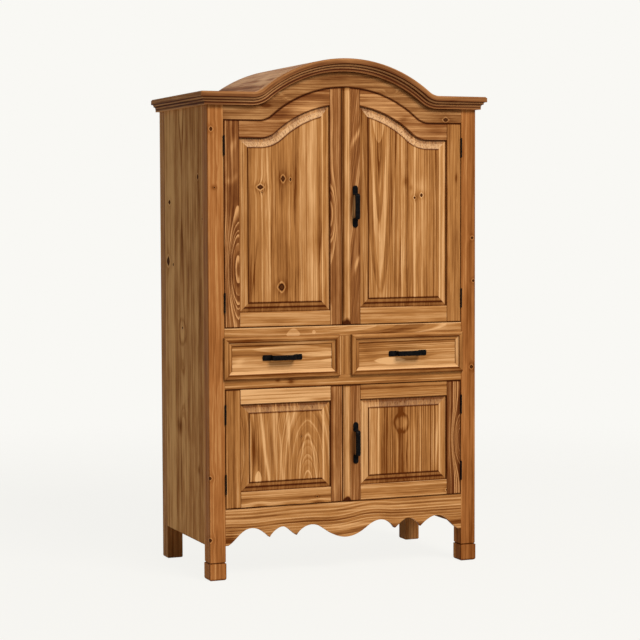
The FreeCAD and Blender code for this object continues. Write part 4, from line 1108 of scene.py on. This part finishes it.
def astragal(node, z0, line, body, seed):
    """Half-round bead with a lip each side; its foot is cut off on the slant.

    The section is (across, proud). A ring's foot rises with proud along the slant, its top
    lies on the door's top line, and the rings between them share that height evenly. Wax
    and painted shade lie in the valleys beside the round and under the top line, and the cut
    foot, which faces down, carries full wax and painted shade.
    """
    low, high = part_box(node)
    start, end = (low.x + astragal_fillet, astragal_lip), (high.x - astragal_fillet, astragal_lip)
    corner = astragal_lip - astragal_arris
    section = [(high.x, 0.0), (high.x, corner), (high.x - astragal_arris, astragal_lip), end]
    section += arc_points(end, start, astragal_proud - astragal_lip, 24)
    section += [(low.x + astragal_arris, astragal_lip), (low.x, corner), (low.x, 0.0)]
    across, proud = np.array(section).T
    foot = z0 + proud * astragal_bevel / astragal_proud
    z = foot + (line.height_at(across) - foot) * np.linspace(0, 1, 60)[:, None]
    x, y = np.broadcast_to(across, z.shape), np.broadcast_to(front - proud, z.shape)
    rings = np.stack([x, y, z], axis=-1)
    points, quads, caps = closed_sweep(rings)
    from_valley = np.minimum(np.abs(across - start[0]), np.abs(across - end[0]))
    valley = np.clip(1 - from_valley / astragal_valley, 0, 1) * 0.9
    top = np.clip(1 - np.abs(z - line.height_at(across)) / astragal_top_wax, 0, 1) * 0.7
    glaze_and_shade = np.maximum(valley, top)
    # The cut foot faces down: full wax and painted shade.
    glaze_and_shade[0] = 1.0
    finish = pine(node, "zxy", golden_tones, seed, pith=(-0.2, 0.01), lean=(0.004, 0.01), light=0.08,
                  figure=1.3, line=0.4, cloud=0.8, glazed_and_lit=True)
    make_piece(node + "_bead", points, outward(points, quads, caps), finish, body, [node],
               {"glaze_and_shade": glaze_and_shade})


astragal("door_upper_right_astragal", foot_upper, door_top, "door_upper_right", 171.0)
astragal("door_lower_right_astragal", foot_lower, LevelLine(head_lower), "door_lower_right", 173.0)


# Hinges and pulls are black iron. A hinge has two leaves in the gap of the door, a barrel
# of knuckles and a pin; a pull is forged from one bar, flattened at both ends.
def iron(name, seed, lump):
    """Black forge scale: near black with bluish and rusty patches, dull and lumpy."""
    finish = Finish(name)
    point = finish.place()
    patches = finish.noise(point, (90.0, 90.0, 90.0), seed, detail=3.0)
    dents = finish.noise(point, (260.0, 260.0, 260.0), seed + 2.0)
    colour = finish.mix(patches.rise(0.35, 0.7), stain(7, 7, 8), stain(20, 18, 18))
    colour = finish.mix(patches.rise(0.62, 0.8) * 0.3, colour, stain(44, 32, 24))
    return finish.done(colour, 0.42 + (dents - 0.5) * 0.25, finish.bump(dents, lump), 0.03)


hinge_finish = iron("hinge_iron", 3.0, 0.0002)
for door in ("door_upper_left", "door_upper_right", "door_lower_left", "door_lower_right"):
    dress(door + "_hinge_leaves", hinge_finish)
dress("hinge_post_leaves", hinge_finish)
dress("hinge_pins", hinge_finish)

pull_length = 0.167
pull_reach = 0.03
pull_grip = 0.104
pull_bar = (0.02, 0.008)
pull_pad = (0.022, 0.004)
pull_bend = 0.008
pull_heel = 0.7 * pull_bend
pull_squareness = 0.45
round_tip = pull_pad[0] / 2
blunt_tip = pull_pad[0] / 6
pull_finish = iron("pull_iron", 5.0, 0.0006)


def pull_line(steps):
    """Middle line of half a pull as (along, proud), from its middle to its tip.

    A straight grip, a quarter bend down the leg, a quarter bend onto the pad, the pad. The
    pad's points crowd towards its tip, because they follow a quarter of a sine.
    """
    grip_half = pull_grip / 2 - pull_bar[1] / 2
    outer = pull_reach - pull_bar[1] / 2
    pad_mid = pull_pad[1] / 2
    turn = np.linspace(0, math.pi / 2, steps)
    grip = np.stack([np.linspace(0, grip_half - pull_bend, 2 * steps), np.full(2 * steps, outer)], -1)
    bend = np.stack([grip_half - pull_bend + pull_bend * np.sin(turn),
                     outer - pull_bend + pull_bend * np.cos(turn)], -1)
    leg_end = pad_mid + pull_heel
    leg = np.stack([np.full(steps, grip_half), np.linspace(outer - pull_bend, leg_end, steps)], -1)
    pad_start = grip_half + pull_heel
    heel = np.stack([pad_start - pull_heel * np.cos(turn), leg_end - pull_heel * np.sin(turn)], -1)
    run = np.sin(np.linspace(0, math.pi / 2, 3 * steps))
    pad = np.stack([pad_start + (pull_length / 2 - pad_start) * run, np.full(3 * steps, pad_mid)], -1)
    return np.concatenate([grip, bend[1:], leg[1:], heel[1:], pad[1:]])


def make_pull(node, body, level, corner):
    """Forged bar: an eased oblong section carried along the pull's line, level or upright.

    The section is a superellipse of the width and thickness at each place. Both change
    from the grip's to the pad's along the leg, and the pad's tip closes in a quarter ellipse
    on each side, as long as the corner: half a circle where that is half the pad's width.
    """
    half = pull_line(8)
    line = np.concatenate([half[:0:-1] * [-1, 1], half])
    ahead = np.gradient(line, axis=0)
    ahead /= np.linalg.norm(ahead, axis=1)[:, None]
    beside = np.stack([-ahead[:, 1], ahead[:, 0]], -1)
    share = (line[:, 1] - pull_pad[1] / 2) / (pull_reach - pull_bar[1] / 2 - pull_pad[1] / 2)
    share = np.clip(share, 0, 1)
    share = share * share * (3 - 2 * share)
    to_tip = np.clip((pull_length / 2 - np.abs(line[:, 0])) / corner, 0, 1)
    close = np.sqrt(np.clip(1 - (1 - to_tip) ** 2, 0.0004, 1))
    wide = (pull_pad[0] + (pull_bar[0] - pull_pad[0]) * share) / 2 * close
    thick = (pull_pad[1] + (pull_bar[1] - pull_pad[1]) * share) / 2 * np.minimum(1, close * 1.5)
    turn = np.linspace(0, 2 * math.pi, 29)[:-1]
    across = wide[:, None] * np.sign(np.cos(turn)) * np.abs(np.cos(turn)) ** pull_squareness
    deep = thick[:, None] * np.sign(np.sin(turn)) * np.abs(np.sin(turn)) ** pull_squareness
    along = line[:, :1] + deep * beside[:, :1]
    out = line[:, 1:] + deep * beside[:, 1:]
    low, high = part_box(node)
    middle = (low + high) / 2
    x, z = (middle.x + along, middle.z + across) if level else (middle.x + across, middle.z + along)
    points, quads, caps = closed_sweep(np.stack([x, high.y - out, z], axis=-1))
    faces = outward(points, quads, caps)
    make_piece(node + "_bar", points, faces, pull_finish, body, [node], crease=60.0)


for body in ("door_upper_right", "door_lower_right", "drawer_left", "drawer_right"):
    level = body.startswith("drawer")
    make_pull(body + "_pull", body, level, blunt_tip if level else round_tip)


# A drawer is a plain nailed box behind a front board, and a mitred moulding laps over the
# case all round the board.
moulding_width = 0.034
moulding_proud = 0.012
moulding_round = 0.006
moulding_flat = 0.019
moulding_quirk = 0.0015
moulding_arris = 0.0005
drawer_recess = 0.003
seat_gap = 0.0003
rebate = 0.007
mitre_wax = 0.45
foot_reach = 0.003
strip_spacing = 3.0


def drawer_section():
    """Closed outline of the moulding as (in, proud): round, flat, quirk, hollow and rebate."""
    shoulder = moulding_proud - moulding_quirk
    rim = drawer_recess + moulding_quirk
    points = [(0.0, seat_gap), (0.0, moulding_proud - moulding_round)]
    points += arc_points(points[-1], (moulding_round, moulding_proud), -moulding_round * quarter_bulge, 8)
    points += [(moulding_flat - 4 * moulding_arris, moulding_proud),
               (moulding_flat - moulding_arris, moulding_proud),
               (moulding_flat, moulding_proud - moulding_arris), (moulding_flat, shoulder)]
    points += arc_points(points[-1], (moulding_width, rim), moulding_quirk, 12)
    points += [(moulding_width, drawer_recess), (rebate, drawer_recess), (rebate, seat_gap)]
    return np.array(points)


def drawer_moulding(side, seed):
    """Four strips, each a run of rings from mitre to mitre, where run and inset are equal.

    A strip is: the way it runs, the edge it lies on and the way to the drawer's middle,
    then its wax and painted shade in the hollow and at its foot, and its painted light in
    the hollow and on the flat. The lower hollow gets a painted highlight and its flat painted
    shade, and the other hollows get painted shade at the foot, under the lip. Each strip's
    board is taken from another place along the log.
    """
    node = "drawer_{}_moulding".format(side)
    low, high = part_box(node)
    inset, proud = drawer_section().T
    in_front = proud > drawer_recess + 0.001
    quirk = np.clip(1.3 - np.abs(inset - moulding_flat) / valley_reach, 0, 1) * in_front
    base = np.clip(1.2 - (moulding_width - inset) / foot_reach, 0, 1)
    rim = np.clip(1 - proud / foot_reach, 0, 1) * (inset < 0.001)
    hollow = ((inset > moulding_flat + 0.001) & (proud > drawer_recess)) * 1.0
    # Per strip: wax and painted shade in the hollow and at its foot, then painted light in the hollow and
    # on the flat.
    strips = (
        ("x", low.z, 1, 0.0, 0.1, 1.2, -0.65), ("x", high.z, -1, 0.05, 1.0, 0.1, -0.2),
        ("z", low.x, 1, 0.1, 0.8, 0.1, -0.1), ("z", high.x, -1, 0.05, 1.0, 0.4, -0.3),
    )
    share = mitred(24)[:, None]
    points, faces, boards, glazes_and_shades, light_marks = [], [], [], [], []
    for number, (way, edge, sign, soil, foot, hollow_light, flat_light) in enumerate(strips):
        start, end = (low.x, high.x) if way == "x" else (low.z, high.z)
        run = (start + inset) * (1 - share) + (end - inset) * share
        off = np.broadcast_to(edge + sign * inset, run.shape)
        y = np.broadcast_to(front - proud, run.shape)
        strip, quads, caps = closed_sweep(np.stack([run, y, off] if way == "x" else [off, y, run], axis=-1))
        count = sum(len(other) for other in points)
        faces += [[corner + count for corner in face] for face in outward(strip, quads, caps)]
        points.append(strip)
        boards.append(np.stack([run + number * strip_spacing, off, y], -1).reshape(-1, 3))
        mitre = np.clip(1 - np.minimum(share, 1 - share) / (1.5 * mitre_share), 0, 1) * mitre_wax
        # Wax and painted shade at the quirk, at the hollow's foot, on the back edge against the case and in
        # the hollow; wax on the mitres.
        lines = np.maximum.reduce([quirk * max(foot, 0.4), base * foot, rim, hollow * soil])
        glazes_and_shades.append(np.maximum(mitre, lines).reshape(-1))
        light_marks.append((hollow * hollow_light + (1 - hollow) * flat_light + np.zeros_like(run)).reshape(-1))
    finish = pine(node, "xzy", golden_tones, seed, pith=(0.6, 0.03), figure=0.7, cloud=0.8, carried=True,
                  glazed_and_lit=True)
    carried = {"board": np.concatenate(boards), "glaze_and_shade": np.concatenate(glazes_and_shades),
               "painted_light": np.concatenate(light_marks)}
    make_piece(node + "_strips", np.concatenate(points), faces, finish, "drawer_" + side,
               [node], carried)


drawer_looks = {
    "left": dict(
        seed=182.0, pith=(0.6, 0.02), lean=(0.02, 0.02), light=0.06, figure=1.2, wander=0.02,
        flames=[(-0.19, 0.886, 0.22, 0.024, -0.06, 0.35), (-0.07, 0.845, 0.05, 0.006, 0.0, 0.5)],
        plumes=[(-0.42, 0.87, 0.09, 0.03, 0.0, 0.12), (-0.45, 0.85, 0.02, 0.012, 0.3, 0.25),
                (-0.2, 0.864, 0.2, 0.004, -0.04, -0.35), (-0.25, 0.84, 0.1, 0.006, 0.0, -0.2)]),
    "right": dict(
        seed=188.0, pith=(0.78, 0.02), lean=(0.02, 0.02), light=-0.02, figure=1.2, wander=0.02,
        flames=[(0.19, 0.834, 0.075, 0.016, 0.0, 0.5), (0.47, 0.842, 0.14, 0.02, 0.04, 0.2)],
        plumes=[(0.1, 0.87, 0.06, 0.03, 0.0, -0.2), (0.38, 0.885, 0.1, 0.012, -0.05, 0.22),
                (0.28, 0.862, 0.12, 0.006, 0.03, -0.3)]),
}
for side, look in drawer_looks.items():
    drawer_moulding(side, look["seed"] - 1)
    node = "drawer_{}_panel".format(side)
    dress(node, pine(node, "xzy", golden_tones, **look))
    node = "drawer_{}_box".format(side)
    dress(node, pine(node, "yzx", inside_tones, look["seed"] + 1, pith=(1.0, 0.4), cloud=0.3, line=-0.4,
                     dull=0.7))


# A pale floor that fades out into a pale backdrop, a broad soft lamp above the camera and
# an even pale room round it.
backdrop = stain(249, 248, 244)
floor_reach = 7.0
fade_start = 2.2
fade_end = 5.5
floor_glow = 0.92
room_strength = 0.33
lamp_power = 900.0
lamp_place = (2.0, -7.2, 7.6)
lamp_aim = (0.0, -0.2, 1.0)
lamp_size = (5.0, 4.0)
lamp_tint = (1.0, 0.97, 0.93)
room_tint = (1.0, 0.985, 0.96, 1.0)


def seen_plainly(tree):
    """One for rays that start at the eye, straight, off something shiny or through glass."""
    rays = [tree.node("ShaderNodeLightPath", {}, {}, output="Is {} Ray".format(kind))
            for kind in ("Camera", "Glossy", "Transmission")]
    return rays[0].most(rays[1]).most(rays[2])


def floor_finish():
    """Pale floor: mostly its own pale colour to the eye, so that only soft shadows show."""
    finish = Finish("floor_paper")
    x, y, _ = finish.place()
    away = distance(x, y)
    speck = finish.noise([x, y, x], (60.0, 60.0, 60.0), 4.0, detail=3.0)
    colour = finish.mix(speck, stain(226, 224, 219), stain(232, 230, 226))
    finish.done(colour, 0.9, finish.bump(speck, 0.0002), 0.1)
    paper = Signal(finish, finish.nodes["Principled BSDF"].outputs[0])
    glow = finish.node("ShaderNodeEmission", {}, {"Color": backdrop})
    clear = finish.node("ShaderNodeBsdfTransparent", {}, {})
    to_eye = seen_plainly(finish) * floor_glow
    paper = finish.node("ShaderNodeMixShader", {}, {0: to_eye, 1: paper, 2: glow})
    fade = finish.node("ShaderNodeMixShader", {}, {0: away.rise(fade_start, fade_end), 1: paper, 2: clear})
    finish.give(finish.nodes["Material Output"].inputs["Surface"], fade)
    return finish.material


def make_floor():
    """A square sheet on the plane Z zero."""
    corners = [(floor_reach * x, floor_reach * y, 0) for x, y in ((-1, -1), (1, -1), (1, 1), (-1, 1))]
    mesh = bpy.data.meshes.new("floor")
    mesh.from_pydata(corners, [], [(0, 1, 2, 3)])
    mesh.materials.append(floor_finish())
    floor = bpy.data.objects.new("floor", mesh)
    bpy.context.scene.collection.objects.link(floor)


def light_room():
    """Even light from all round, and the pale backdrop for the eye and for reflections."""
    world = bpy.data.worlds.new("room")
    bpy.context.scene.world = world
    room = NodeTree(world)
    even = room.node("ShaderNodeBackground", {}, {"Color": room_tint, "Strength": room_strength})
    pale = room.node("ShaderNodeBackground", {}, {"Color": backdrop})
    both = room.node("ShaderNodeMixShader", {}, {0: seen_plainly(room), 1: even, 2: pale})
    room.give(room.nodes["World Output"].inputs["Surface"], both)


def hang_lamp():
    """A broad rectangular lamp, turned towards what it lights."""
    light = bpy.data.lights.new("key", "AREA")
    light.shape = "RECTANGLE"
    light.size, light.size_y = lamp_size
    light.energy = lamp_power
    light.color = lamp_tint
    lamp = bpy.data.objects.new("key", light)
    lamp.location = lamp_place
    lamp.rotation_euler = (Vector(lamp_aim) - Vector(lamp_place)).to_track_quat("-Z", "Y").to_euler()
    bpy.context.scene.collection.objects.link(lamp)


make_floor()
light_room()
hang_lamp()


# The camera stands to the left of the front at chest height and looks slightly down. Its
# lens is given in pixels of a picture this wide, like its place and its three turns.
camera_place = Vector((-2.9282, front - 6.8026, 1.4253))
camera_yaw = math.radians(22.498)
camera_pitch = math.radians(3.2737)
camera_roll = math.radians(-0.2077)
picture_width = 640
focal_pixels = 1871.7269
sensor_width = 36.0
view_reach = 100.0

ahead = Vector((math.sin(camera_yaw) * math.cos(camera_pitch),
                math.cos(camera_yaw) * math.cos(camera_pitch), -math.sin(camera_pitch)))
level_right = Vector((math.cos(camera_yaw), -math.sin(camera_yaw), 0.0))
level_up = level_right.cross(ahead)
right = level_right * math.cos(camera_roll) + level_up * math.sin(camera_roll)
up = level_up * math.cos(camera_roll) - level_right * math.sin(camera_roll)
camera_data = bpy.data.cameras.new("camera")
camera_data.sensor_width = sensor_width
camera_data.lens = focal_pixels * sensor_width / picture_width
camera_data.clip_end = view_reach
camera = bpy.data.objects.new("camera", camera_data)
turn = Matrix((right, up, -ahead)).transposed().to_4x4()
camera.matrix_world = Matrix.Translation(camera_place) @ turn
bpy.context.scene.collection.objects.link(camera)
bpy.context.scene.camera = camera
bpy.context.scene.view_settings.view_transform = "Standard"
